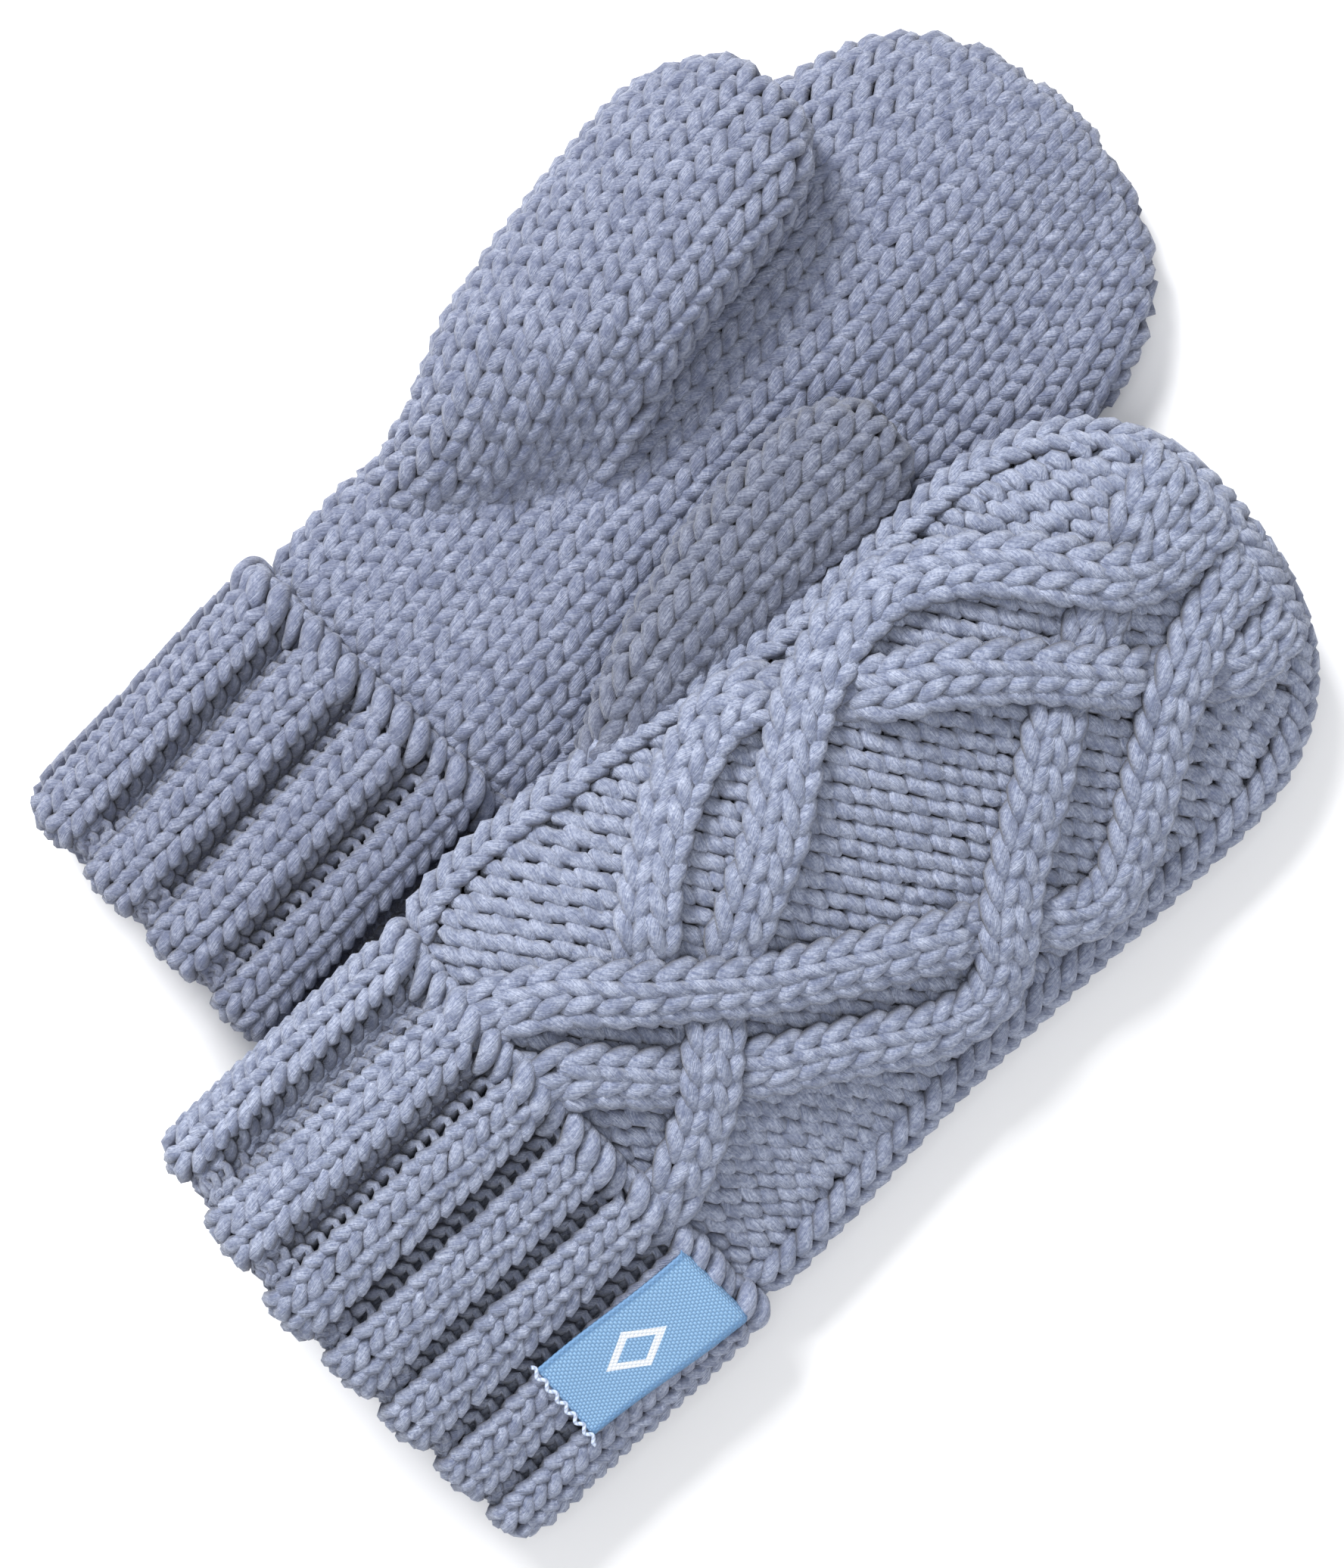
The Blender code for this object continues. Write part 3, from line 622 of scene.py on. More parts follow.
class Nodes:
    """A short way to build a shader from maths on the object's own layers."""

    def __init__(self, name):
        self.material = bpy.data.materials.new(name)
        self.material.use_nodes = True
        self.tree = self.material.node_tree
        self.shader = self.tree.nodes["Principled BSDF"]

    def new(self, kind, **settings):
        node = self.tree.nodes.new(kind)
        for key, value in settings.items():
            setattr(node, key, value)
        return node

    def link(self, value, socket):
        if isinstance(value, (int, float, tuple)):
            socket.default_value = value
        else:
            self.tree.links.new(value, socket)

    def math(self, operation, a, b=0.0):
        node = self.new("ShaderNodeMath", operation=operation)
        self.link(a, node.inputs[0])
        self.link(b, node.inputs[1])
        return node.outputs[0]

    def add(self, a, b):
        return self.math("ADD", a, b)

    def times(self, a, b):
        return self.math("MULTIPLY", a, b)

    def wave(self, turns):
        """0 at every whole number of turns and 1 half way between two of them."""
        return self.math("ABSOLUTE", self.math("SINE", self.times(turns, math.pi)))

    def layer(self, name):
        """The two coordinates of a UV layer."""
        split = self.new("ShaderNodeSeparateXYZ")
        self.link(self.new("ShaderNodeUVMap", uv_map=name).outputs[0], split.inputs[0])
        return split.outputs[0], split.outputs[1]

    def join(self, x, y, z=0.0):
        node = self.new("ShaderNodeCombineXYZ")
        for value, socket in zip((x, y, z), node.inputs):
            self.link(value, socket)
        return node.outputs[0]

    def noise(self, vector, scale, detail=2.0):
        node = self.new("ShaderNodeTexNoise")
        self.link(vector, node.inputs["Vector"])
        node.inputs["Scale"].default_value = scale
        node.inputs["Detail"].default_value = detail
        return node.outputs["Fac"]

    def ramp(self, value, low, high, to_low=0.0, to_high=1.0):
        node = self.new("ShaderNodeMapRange")
        for part, socket in zip((value, low, high, to_low, to_high), node.inputs):
            self.link(part, socket)
        return node.outputs[0]

    def mix(self, share, one, other):
        node = self.new("ShaderNodeMix", data_type="RGBA")
        self.link(share, node.inputs["Factor"])
        self.link((*one, 1.0) if isinstance(one, tuple) else one, node.inputs["A"])
        self.link((*other, 1.0) if isinstance(other, tuple) else other, node.inputs["B"])
        return node.outputs["Result"]

    def object_place(self):
        return self.new("ShaderNodeTexCoord").outputs["Object"]

    def surface(self, colour, roughness, height=None, distance=MM, strength=1.0, sheen=0.0):
        self.link(colour, self.shader.inputs["Base Color"])
        self.link(roughness, self.shader.inputs["Roughness"])
        self.shader.inputs["Specular IOR Level"].default_value = 0.25
        self.shader.inputs["Sheen Weight"].default_value = sheen
        self.shader.inputs["Sheen Roughness"].default_value = 0.5
        if height is not None:
            bump = self.new("ShaderNodeBump")
            bump.inputs["Strength"].default_value = strength
            bump.inputs["Distance"].default_value = distance
            self.link(height, bump.inputs["Height"])
            self.link(bump.outputs[0], self.shader.inputs["Normal"])
        return self.material


PLIES, PLY_TWIST, FIBRE_STRETCH, FIBRES_ACROSS = 3.0, 15.0, 0.25, 8.0
THREAD_PLIES, THREAD_TWIST = 2.0, 1.1
YARN_SHADOW = (0.045, 0.05, 0.085)


def yarn_material(name, dark, middle, light):
    """Soft plied yarn: ply spiral, fine fibres along it, a slow heather, and painted shade on hidden sides.
    """
    n = Nodes(name)
    along, around = n.layer("yarn")
    spiral = n.add(n.times(around, PLIES), n.math("DIVIDE", along, PLY_TWIST / PLIES))
    crease = n.wave(spiral)
    place = n.object_place()
    lengthways = n.times(along, FIBRE_STRETCH)
    sideways = n.times(spiral, FIBRES_ACROSS)
    fibre = n.noise(n.join(lengthways, sideways, n.times(along, 0.03)), 2.2, 5.0)
    fluff = n.noise(place, 1900.0, 4.0)
    heather = n.noise(place, 330.0, 3.0)
    height = n.add(n.times(crease, 0.28), n.times(fibre, 1.1))
    height = n.add(height, n.times(fluff, 0.7))
    shade = n.add(n.times(fibre, 0.55), n.times(fluff, 0.45))
    tone = n.mix(n.ramp(shade, 0.37, 0.65), middle, light)
    # painted shade in the creases between the plies
    tone = n.mix(n.ramp(crease, 0.0, 0.35, 0.3, 0.0), tone, dark)
    tone = n.mix(n.ramp(heather, 0.42, 0.66, 0.0, 0.55), tone, dark)
    # painted shade on each strand's sides and underside, by which way its surface faces
    facing = n.math("COSINE", n.times(n.math("SUBTRACT", around, 0.25), 2 * math.pi))
    tone = n.mix(n.ramp(facing, -0.2, 0.85, 0.85, 0.0), tone, YARN_SHADOW)
    # painted shade from the 'shade' layer: in the cuff's grooves, at the ropes' sides and under crossings
    tone = n.mix(n.layer("shade")[0], tone, YARN_SHADOW)
    roughness = n.ramp(fluff, 0.3, 0.7, 0.8, 0.95)
    return n.surface(tone, roughness, height, 0.5 * MM, 0.8, sheen=0.3)


def fleece_material():
    n = Nodes("fleece_lining")
    place = n.object_place()
    nap = n.noise(place, 900.0, 4.0)
    tone = n.mix(n.ramp(nap, 0.35, 0.65), (0.10, 0.115, 0.17), (0.20, 0.225, 0.31))
    return n.surface(tone, n.ramp(nap, 0.3, 0.7, 0.9, 1.0), nap, 0.8 * MM, 0.8, sheen=0.5)


def thread_material(name, dark, light):
    n = Nodes(name)
    along, around = n.layer("yarn")
    crease = n.wave(n.add(n.times(around, THREAD_PLIES), n.math("DIVIDE", along, THREAD_TWIST)))
    # painted shade: darker in the creases between the plies
    tone = n.mix(n.ramp(crease, 0.1, 0.9), dark, light)
    return n.surface(tone, n.ramp(crease, 0.0, 1.0, 0.65, 0.45), crease, 0.12 * MM, 0.7)


LABEL_X, LABEL_Y, LABEL_OVER = (27.4, 46.1), (26.7, 61.2), 1.2
LABEL_WIDTH, LABEL_LENGTH = LABEL_X[1] - LABEL_X[0], LABEL_Y[1] - LABEL_Y[0]
LABEL_BLUE, LABEL_DEEP, LABEL_WHITE = (0.30, 0.50, 0.74), (0.15, 0.29, 0.50), (0.80, 0.84, 0.90)
WEAVE_ACROSS, WEAVE_ALONG = 0.95, 0.62
LOZENGE_WIDE, LOZENGE_LONG, LOZENGE_SIZE = 5.0, 7.5, 0.8


def label_material():
    """A satin weave with darker selvedges, and a plain white lozenge outline in its middle."""
    n = Nodes("woven_label")
    u, v = n.layer("cloth")
    row = n.math("DIVIDE", v, WEAVE_ALONG)
    shift = n.times(n.math("FLOOR", row), 0.5)
    bump_u = n.wave(n.add(n.math("DIVIDE", u, WEAVE_ACROSS), shift))
    weave = n.times(bump_u, n.wave(row))
    tone = n.mix(n.ramp(weave, 0.05, 0.6), LABEL_DEEP, LABEL_BLUE)
    from_middle = n.math("ABSOLUTE", n.math("SUBTRACT", u, LABEL_WIDTH / 2))
    tone = n.mix(n.ramp(from_middle, LABEL_WIDTH / 2 - 1.3, LABEL_WIDTH / 2 - 0.9), tone, LABEL_DEEP)
    far_across = n.math("DIVIDE", from_middle, LOZENGE_WIDE)
    far_along = n.math("ABSOLUTE", n.math("SUBTRACT", v, LABEL_LENGTH / 2))
    far = n.add(far_across, n.math("DIVIDE", far_along, LOZENGE_LONG))
    outline = n.math("ABSOLUTE", n.math("SUBTRACT", far, LOZENGE_SIZE))
    tone = n.mix(n.ramp(outline, 0.16, 0.20, 1.0, 0.0), tone, LABEL_WHITE)
    return n.surface(tone, n.ramp(weave, 0.0, 1.0, 0.55, 0.36), weave, 0.18 * MM, 0.8)


YARN_LEFT = yarn_material(
    "knit_yarn_left", dark=(0.084, 0.101, 0.18), middle=(0.139, 0.165, 0.264), light=(0.42, 0.452, 0.572)
)
YARN_RIGHT = yarn_material(
    "knit_yarn_right", dark=(0.105, 0.128, 0.217), middle=(0.18, 0.212, 0.329), light=(0.52, 0.566, 0.7)
)
# a darker copy of the right mitten's yarn, for its thumb: painted shade
YARN_THUMB_SHADED = yarn_material(
    "knit_yarn_thumb_shaded", dark=(0.06, 0.072, 0.122), middle=(0.1, 0.116, 0.183), light=(0.312, 0.338, 0.426)
)
YARN_LINKING = yarn_material(
    "linking_yarn", dark=(0.10, 0.122, 0.205), middle=(0.17, 0.20, 0.31), light=(0.42, 0.455, 0.58)
)
FLEECE = fleece_material()
LINING_THREAD = thread_material("lining_thread", (0.22, 0.25, 0.34), (0.42, 0.46, 0.58))
LABEL_THREAD = thread_material("label_thread", (0.40, 0.48, 0.68), (0.66, 0.74, 0.88))
WOVEN_LABEL = label_material()


def marked(node):
    """Hides the CAD node that the piece stands for."""
    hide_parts(node)


def placed(obj, body, node):
    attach(obj, body)
    marked(node)


def add_part(mitten, part, strands, material, sides=SIDES, body=None):
    """A piece of yarn that stands for the mitten's CAD node of the same name."""
    node = mitten.prefix + "_" + part
    placed(add_yarn(node, mitten, strands, material, sides), body or mitten.body, node)


# ---- plain and purl panels

PALM_STITCH = Stitch(height=3.95, depth=1.3, radius=1.43, leaf=0.32, swing=0.25, lean=-0.14)
PALM_WALE, PALM_ROW, PALM_MARGIN, PALM_NARROWEST = 6.3, 4.35, 0.4, 9.0
SINK_DEPTH, SINK_FROM, SINK_DEEP, SINK_RISES, SINK_TO = 3.2, 104.0, 118.0, 145.0, 165.0
SINK_NEAR, SINK_WIDTH = 3.0, 8.0


def gathered(v, sheet):
    """How much closer the wales lie: more at the wrist, and more again towards the tip."""
    return 1 + 0.08 * step(v, 115, 75) + 0.35 * step(v, TIP_FROM, sheet.rows[-1])


def add_palm(mitten, sheet, material, samples, sides, thumb_s=None):
    """Plain knit from the wrist to the tip. Its courses end in the side seams.

    On the thumb's side of thumb_s it sinks under the thumb's root.
    """
    strands = []
    for v_row in np.arange(sheet.rows[0] + 1, sheet.rows[-1] - 1.2, PALM_ROW):
        low, high = sheet.span(v_row)
        low, high = low + PALM_MARGIN, high - PALM_MARGIN
        if high - low < PALM_NARROWEST:
            continue
        scale = gathered(v_row, sheet) / PALM_WALE
        wale = np.arange(low * scale, high * scale, 1 / samples)
        s = wale / scale
        v = v_row + 0.5 * np.sin(s / 23 + v_row / 31) + 0.4 * np.sin(s / 11 - v_row / 19)
        under = 0.0
        if thumb_s is not None:
            under = smooth((thumb_s - SINK_NEAR - s) / SINK_WIDTH)
            under = under * step(v, SINK_FROM, SINK_DEEP) * step(v, SINK_TO, SINK_RISES)
        strands.append(tucked(lay(sheet, PALM_STITCH, wale, s, v, relief=-SINK_DEPTH * under)))
    add_part(mitten, "palm_panel", strands, material, sides)


GROUND_STITCH = Stitch(height=3.22, depth=1.3, radius=1.46, leaf=-0.30, slant=0.85)
GROUND_WALE, GROUND_ROW, GROUND_RELIEF, GROUND_TILT = 6.1, 4.35, -0.4, 0.04
GROUND_HALF_WIDTH, TILT_REACH, GROUND_MARGIN, GROUND_SINKS = 62.0, 24.0, 0.8, 1.2
BORDER, BORDER_MIDDLE = 8.4, 4.9
BORDER_STITCH = Stitch(height=4.1, depth=1.2, radius=1.45, leaf=0.28, lean=-0.12, fat=-0.04)
BORDER_BAND = Band(BORDER_STITCH, wales=1, wale=6.4, row=4.6, base=0.2, crown=0.9)
BORDER_TIP = [(2.0, 1.6), (0.5, 2.4)]


def ground_tilt(s, v):
    """How far a purl row has risen at s: the ropes pull the rows up to the right."""
    return GROUND_TILT * s + 0.16 * step(v, 118, 78) * np.maximum(s - 8, 0)


def ground(sheet, mirror, samples):
    """The back's purl ground, and the plain border wale along each edge."""
    strands = []
    first, end = sheet.rows[0] + 0.5, sheet.rows[-1] - 1.5
    for v_row in np.arange(first - TILT_REACH, end + TILT_REACH, GROUND_ROW):
        s = np.linspace(-GROUND_HALF_WIDTH, GROUND_HALF_WIDTH, 24 * samples)
        v = v_row + ground_tilt(s * mirror, v_row)
        low, high = sheet.span(v)
        margin = BORDER - GROUND_MARGIN
        inside = (v > first) & (v < end) & (s > low + margin) & (s < high - margin)
        for a, b in runs(inside, 2 * samples):
            scale = gathered(v_row, sheet) / GROUND_WALE
            wale = np.arange(s[a] * scale, s[b - 1] * scale, 1 / samples)
            s_run = wale / scale
            v_run = np.interp(s_run, s[a:b], v[a:b])
            low, high = sheet.span(v_run)
            from_edge = np.minimum(s_run - low, high - s_run)
            relief = GROUND_RELIEF - GROUND_SINKS * smooth((BORDER + 2.2 - from_edge) / 2.5)
            strands.append(tucked(lay(sheet, GROUND_STITCH, wale, s_run, v_run, -1.0, relief)))
    return strands + border(sheet, samples, 1) + border(sheet, samples, -1)


def border(sheet, samples, side):
    """One plain wale that runs up an edge of the back and round its tip."""
    v = np.arange(sheet.rows[0] + 1.0, sheet.rows[-1] - 4.0, 1.0)
    low, high = sheet.span(v)
    s = high - BORDER_MIDDLE if side > 0 else low + BORDER_MIDDLE
    keep = s * side > BORDER_BAND.wale / 2
    last = v[keep][-1]
    path = Path([*zip(s[keep], v[keep]), *[(side * across, last + up) for across, up in BORDER_TIP]])
    starts = np.arange(2, path.length, BORDER_BAND.row)
    return [path_stitches(sheet, path, BORDER_BAND, start, samples) for start in starts]


# ---- the cable ropes. Each is a line of places (x, y) across the right mitten's back, and is named after
# where it starts at the wrist.

ROPES = {
    "right": [
        (22, 62), (19.5, 70), (11, 86.5), (3, 95), (-9.6, 114), (-18, 132), (-31, 152), (-35.4, 166.6),
        (-36, 178), (-30.7, 189.7), (-19.3, 202.5), (-9.7, 211), (-5.5, 219), (-4.5, 233), (-4.5, 237),
    ],
    "left": [
        (7.4, 237), (7.4, 233), (7.6, 220), (12.8, 206), (22.3, 192.7), (29.8, 181.8), (34.8, 172),
        (33.8, 164), (27.5, 156), (20.6, 144), (12.3, 129), (1.9, 111), (-8.7, 98), (-21.5, 81.6),
        (-29.8, 68), (-31, 62),
    ],
    "short": [
        (19.5, 236), (19.5, 234), (19.8, 219), (14.5, 210.5), (8, 202.6), (0.8, 196), (-9.2, 186.4),
        (-17.7, 175.3), (-23, 164), (-31, 155.4), (-38, 146), (-39.8, 137), (-35, 122), (-26.8, 108.6),
        (-16, 96), (-12, 90),
    ],
    "middle": [
        (-16.5, 236), (-16.5, 232), (-14.8, 222.6), (-8.8, 208.5), (-0.3, 190), (4, 182), (10.6, 173),
        (16.5, 163), (23, 154), (30.3, 147), (33.7, 139.5), (31.3, 128.7), (22.3, 114.5), (13.3, 99.5),
        (2.7, 84.5), (-11.7, 71.6), (-16, 62),
    ],
}
OVER = [
    ("right", "short"), ("right", "middle"), ("short", "middle"),
    ("left", "short"), ("middle", "left"), ("left", "right"),
]
ROPE_STITCH = Stitch(height=4.85, depth=1.2, radius=1.52, leaf=0.30, swing=0.26, lean=-0.12)
ROPE_BAND = Band(ROPE_STITCH, wales=2, wale=5.4, row=5.6, base=3.2, crown=1.6)
ROPE_SHORT = 9.0
FLAT_FROM, FLAT_TO, FLAT_SHARE = 208.0, 236.0, 0.25
OVER_RAISE, UNDER_DROP, CROSSING_REACH, SIDE_DROP = 1.0, 3.0, 8.0, 3.0
PATH_STEP, PATH_ROUNDING = 0.5, 13


class Path:
    """A smooth line through places on a sheet, measured by its own length."""

    def __init__(self, corners):
        corners = np.array(corners, float)
        corners_mm = distances(corners)
        self.length = corners_mm[-1]
        self.at_mm = np.arange(0, self.length, PATH_STEP)
        line = np.stack([np.interp(self.at_mm, corners_mm, corners[:, k]) for k in (0, 1)], axis=-1)
        kernel = np.hanning(2 * PATH_ROUNDING + 1)
        kernel /= kernel.sum()
        padding = ((PATH_ROUNDING, PATH_ROUNDING), (0, 0))
        padded = np.pad(line, padding, mode="reflect", reflect_type="odd")
        self.line = np.stack([np.convolve(padded[:, k], kernel, "valid") for k in (0, 1)], axis=-1)
        self.tangent = unit(np.gradient(self.line, axis=0))
        self.rise = np.zeros(len(self.at_mm))

    def at(self, mm):
        """(place, tangent, rise) at these lengths."""
        parts = [np.interp(mm, self.at_mm, row) for row in (*self.line.T, *self.tangent.T, self.rise)]
        return np.stack(parts[:2], axis=-1), np.stack(parts[2:4], axis=-1), parts[4]


def cross(paths):
    """Raises the upper rope and lowers the lower one wherever two of them cross."""
    for upper, lower in OVER:
        a, b = paths[upper], paths[lower]
        far = np.linalg.norm(a.line[:, None] - b.line[None], axis=2)
        near_a, near_b = far.min(axis=1), far.min(axis=0)
        a.rise += OVER_RAISE * np.exp(-((near_a / CROSSING_REACH) ** 2))
        b.rise -= UNDER_DROP * np.exp(-((near_b / CROSSING_REACH) ** 4))


def ropes(sheet, samples):
    """The strands of all four ropes over the back. The short one starts under another, above the wrist."""
    paths = {}
    for name, points in ROPES.items():
        x, y = np.array(points).T
        s, v = sheet.locate(x, y)
        if y[0] > y[-1]:
            s, v = s[::-1], v[::-1]
        paths[name] = Path(list(zip(s, v)))
    cross(paths)
    strands = []
    for path in paths.values():
        for start in np.arange(2, path.length - 2, ROPE_BAND.row):
            if path.at(start)[0][1] < sheet.rows[-1] - ROPE_SHORT:
                strands.append(path_stitches(sheet, path, ROPE_BAND, start, samples))
    return strands


def path_stitches(sheet, path, band, start, samples):
    """The strand of the stitches, side by side, that make one row of a band along a path."""
    stitch, wales, wale = band.stitch, band.wales, band.wale
    u = np.linspace(-wales / 2, wales / 2, wales * samples + 1)
    phase = 2 * math.pi * (u - wales / 2 + 0.5)
    along = start + stitch.height * np.cos(phase) + wobble(len(u), 0.12)
    place, tangent, rise = path.at(np.clip(along, 0, path.length))
    lateral = wale * (u + stitch.swing * np.sin(2 * phase) + stitch.lean * np.cos(phase))
    lateral = lateral + wobble(len(u), 0.12)
    s = place[:, 0] + lateral * tangent[:, 1]
    v = place[:, 1] - lateral * tangent[:, 0]
    rounded = band.crown * (1 - (2 * lateral / (1.15 * wale * wales)) ** 2)
    flat = 1 - (1 - FLAT_SHARE) * step(place[:, 1], FLAT_FROM, FLAT_TO)
    at_side = smooth((2 * np.abs(u) / wales - 0.84) / 0.16)
    out = (band.base + rounded + rise) * flat - stitch.depth * np.cos(2 * phase) - SIDE_DROP * at_side
    radii = thickness(stitch, phase) * (1 - 0.35 * at_side)
    # painted shade at the rope's sides and where it dips under another rope
    shade = 0.35 * at_side + 0.3 * np.clip(-rise / UNDER_DROP, 0, 1)
    return strand_over(sheet, s, v, out, radii, shade=shade)


# ---- the turned cuffs

CUFF_STITCH = Stitch(height=3.15, depth=1.3, radius=1.3, leaf=0.30, swing=0.25, lean=0.13, up=-1)
RIB_STITCH = Stitch(height=3.3, depth=0.7, radius=1.35, leaf=0.15, lean=-0.08, fat=-0.17)
CUFF_ROW, CUFF_LAST = 3.55, 61.0
RIB_HALF, GROOVE_DEPTH, RIB_CROWN = 6.0, 6.6, 1.0
WRIST_RIB_INSET, WRIST_RIB_FROM, WRIST_RIB_TO = 8.2, 8.0, 65.0
FOLD_GROOVE, GROOVE_GROWS, GROOVE_SHADE = 0.32, 9.0, 0.72
RIGHT_RIBS = (-50.0, -31.0, -12.6, 3.3, 18.4, 33.6, 48.0)
LEFT_RIBS = (-47.0, -29.5, -12.0, 5.5, 23.0, 40.0)
RIB_PITCH, RIBS_MEASURED_AT = 17.6, 33.0
LOOP_PITCH, LOOP_FROM, LOOP_RISE, LOOP_SLANT = 4.8, 59.2, 7.6, 3.0
ROLLED_AT, ROLLED_RADIUS, LOBE_SAMPLES = 65.6, 1.7, 8


class Ribs:
    """Where the ribs lie round a cuff: their centres as s, from the bottom's middle round to it again.

    tops are the x of the ribs on top. The underside's ribs are spaced evenly in what is left.
    """

    def __init__(self, sheet, tops):
        low, high = sheet.span(RIBS_MEASURED_AT)
        self.low, self.high, self.around = low, high, high - low
        s = np.linspace(low / 2 - 2, high / 2 + 2, 400)
        top = np.interp(tops, sheet.at(s, np.full(400, RIBS_MEASURED_AT))[0][:, 0], s)
        below = (high - top[-1]) + (top[0] - low)
        count = round(below / RIB_PITCH) - 1
        after = top[-1] + below / (count + 1) * np.arange(1, count + 1)
        centres = np.sort(np.concatenate([top, after]))
        self.count = len(centres)
        centres = np.concatenate([centres + lap * self.around for lap in (-1, 0, 1)])
        index = np.concatenate([np.arange(self.count) + lap * self.count for lap in (-1, 0, 1)])
        s = np.stack([centres - RIB_HALF, centres + RIB_HALF], axis=-1).ravel()
        wale = np.stack([4 * index - 1, 4 * index + 1], axis=-1).ravel()
        self.knots = (s, wale)

    def course(self, samples):
        """Evenly spaced stitch counts for one closed course, from s = low to high."""
        first = np.interp(self.low, *self.knots)
        wale = first + np.arange(4 * self.count * samples) / samples
        return wale, np.interp(wale, self.knots[1], self.knots[0])

    def groove(self, wale):
        """How many wales it is to the nearest rib's middle, and 0 on a rib to 1 in a groove."""
        near = np.abs((wale + 2) % 4 - 2)
        return near, smooth((near - 0.9) / 0.5)


def add_cuff(mitten, ribs, sheet, material):
    strands = []
    for v_row in np.arange(sheet.rows[0] + 0.6, CUFF_LAST, CUFF_ROW):
        wale, s = ribs.course(min(SAMPLES, 12))
        near, groove = ribs.groove(wale)
        shallow = FOLD_GROOVE + (1 - FOLD_GROOVE) * smooth((v_row - FOLD_Y) / GROOVE_GROWS)
        relief = 0.5 - GROOVE_DEPTH * shallow * groove - RIB_CROWN * np.clip(near, 0, 1) ** 2 * (1 - groove)
        v = v_row + 0.35 * np.sin(s / 9 + v_row / 13)
        # painted shade in the grooves between the ribs
        shade = GROOVE_SHADE * groove * shallow
        strands.append(lay(sheet, CUFF_STITCH, wale, s, v, 1 - 2 * groove, relief, True, shade))
    strands += cast_on(ribs, sheet)
    add_part(mitten, "turned_cuff", strands, material, body=mitten.prefix + "_cuff")


def cast_on(ribs, sheet):
    """The chunky cord along the cuff's free edge: slanted loops over a rolled strand."""
    strands = []
    count = round(ribs.around / LOOP_PITCH)
    for index in range(count):
        middle = ribs.low + ribs.around * index / count
        t = np.linspace(0, 1, SAMPLES + 4)
        groove = ribs.groove(np.interp(middle, *ribs.knots))[1]
        s = middle + LOOP_SLANT * (0.5 - t) + 0.5 * np.sin(2 * math.pi * t) + RNG.normal(0, 0.25)
        v = LOOP_FROM + LOOP_RISE * np.sin(t * math.pi / 2) ** 1.1 + RNG.normal(0, 0.3)
        out = -1.8 + 3.0 * np.sin(math.pi * t) ** 0.8 - 1.6 * groove + RNG.normal(0, 0.2)
        out = out - 2.0 * smooth((t - 0.8) / 0.2)
        radii = (1.35 + 0.95 * np.sin(math.pi * t)) * (1 - 0.25 * groove)
        strands.append(strand_over(sheet, s, v, out, radii))
    s = np.linspace(ribs.low, ribs.high, count * LOBE_SAMPLES, endpoint=False)
    groove = ribs.groove(np.interp(s, *ribs.knots))[1]
    lobe = np.arange(len(s)) / LOBE_SAMPLES * 2 * math.pi
    out = -1.2 - 0.8 * groove + 0.5 * np.cos(lobe)
    rolled = strand_over(sheet, s, ROLLED_AT + 0.8 * np.sin(lobe), out, ROLLED_RADIUS, True)
    return [*strands, rolled]


def add_wrist_rib(mitten, ribs, material):
    """The ribbing inside the turned cuff. It shows when the cuff slides down."""
    sheet = cuff_sheet(mitten, WRIST_RIB_INSET, 0.0)
    strands = []
    for v_row in np.arange(WRIST_RIB_FROM, WRIST_RIB_TO, CUFF_ROW):
        wale, s = ribs.course(HIDDEN_SAMPLES)
        low, high = sheet.span(v_row)
        s = low + (s - ribs.low) * (high - low) / ribs.around
        near, groove = ribs.groove(wale)
        relief = -0.9 * groove - 0.4 * np.clip(near, 0, 1) ** 2
        v = np.full_like(s, v_row)
        strands.append(lay(sheet, RIB_STITCH, wale, s, v, 1 - 2 * groove, relief, True))
    add_part(mitten, "wrist_rib", strands, material, HIDDEN_SIDES)


# ---- thumbs

THUMB_STITCH = Stitch(height=4.05, depth=1.3, radius=1.43, leaf=0.32, swing=0.25, lean=-0.14)
THUMB_WALE, THUMB_ROW, THUMB_SHORT, THUMB_LINING = 6.3, 4.45, 2.5, 0.8
LEFT_THUMB_FIRST, RIGHT_THUMB_FIRST = 1, 2
LEFT_THUMB_LINING = (YARN_INSET + 2.6, LEFT_THUMB_FROM + 20)
RIGHT_THUMB_LINING = (YARN_INSET + 2.2, RIGHT_THUMB_FROM + 22)


def ring_course(sheet, v_row, wale_width, samples):
    """A closed course whose stitches are wale_width across on top; the underside takes up what is left."""
    low, high = sheet.span(v_row)
    whole = max(round((high - low) / wale_width), 4)
    right = -low / (high - low)
    wale = np.arange(-whole * right, whole * (1 - right) - 1e-6, 1 / samples)
    half = 0.5 * min(-low, high)
    knots_s = [low, -half, half, high]
    knots_wale = [-whole * right, -half / wale_width, half / wale_width, whole * (1 - right)]
    return wale, np.interp(wale, knots_wale, knots_s)


def bent(obj, node):
    """Bakes the piece's placement into its mesh and hides the CAD node that it stands for."""
    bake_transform(obj)
    marked(node)


def add_thumb(mitten, sheet, first, lining, material):
    """The knitted tube, whose first course is that far from its root, and its lining."""
    strands = []
    for v_row in np.arange(sheet.rows[0] + first, sheet.rows[-1] - THUMB_SHORT, THUMB_ROW):
        wale, s = ring_course(sheet, v_row, THUMB_WALE, SAMPLES)
        strands.append(lay(sheet, THUMB_STITCH, wale, s, np.full_like(s, v_row), closed=True))
    node = mitten.prefix + "_thumb_tube"
    bent(add_yarn(node, mitten, strands, material), node)
    node = mitten.prefix + "_thumb_lining"
    bent(add_shell(node, mitten, lining, THUMB_LINING), node)


# ---- linings, hems, seams and knots


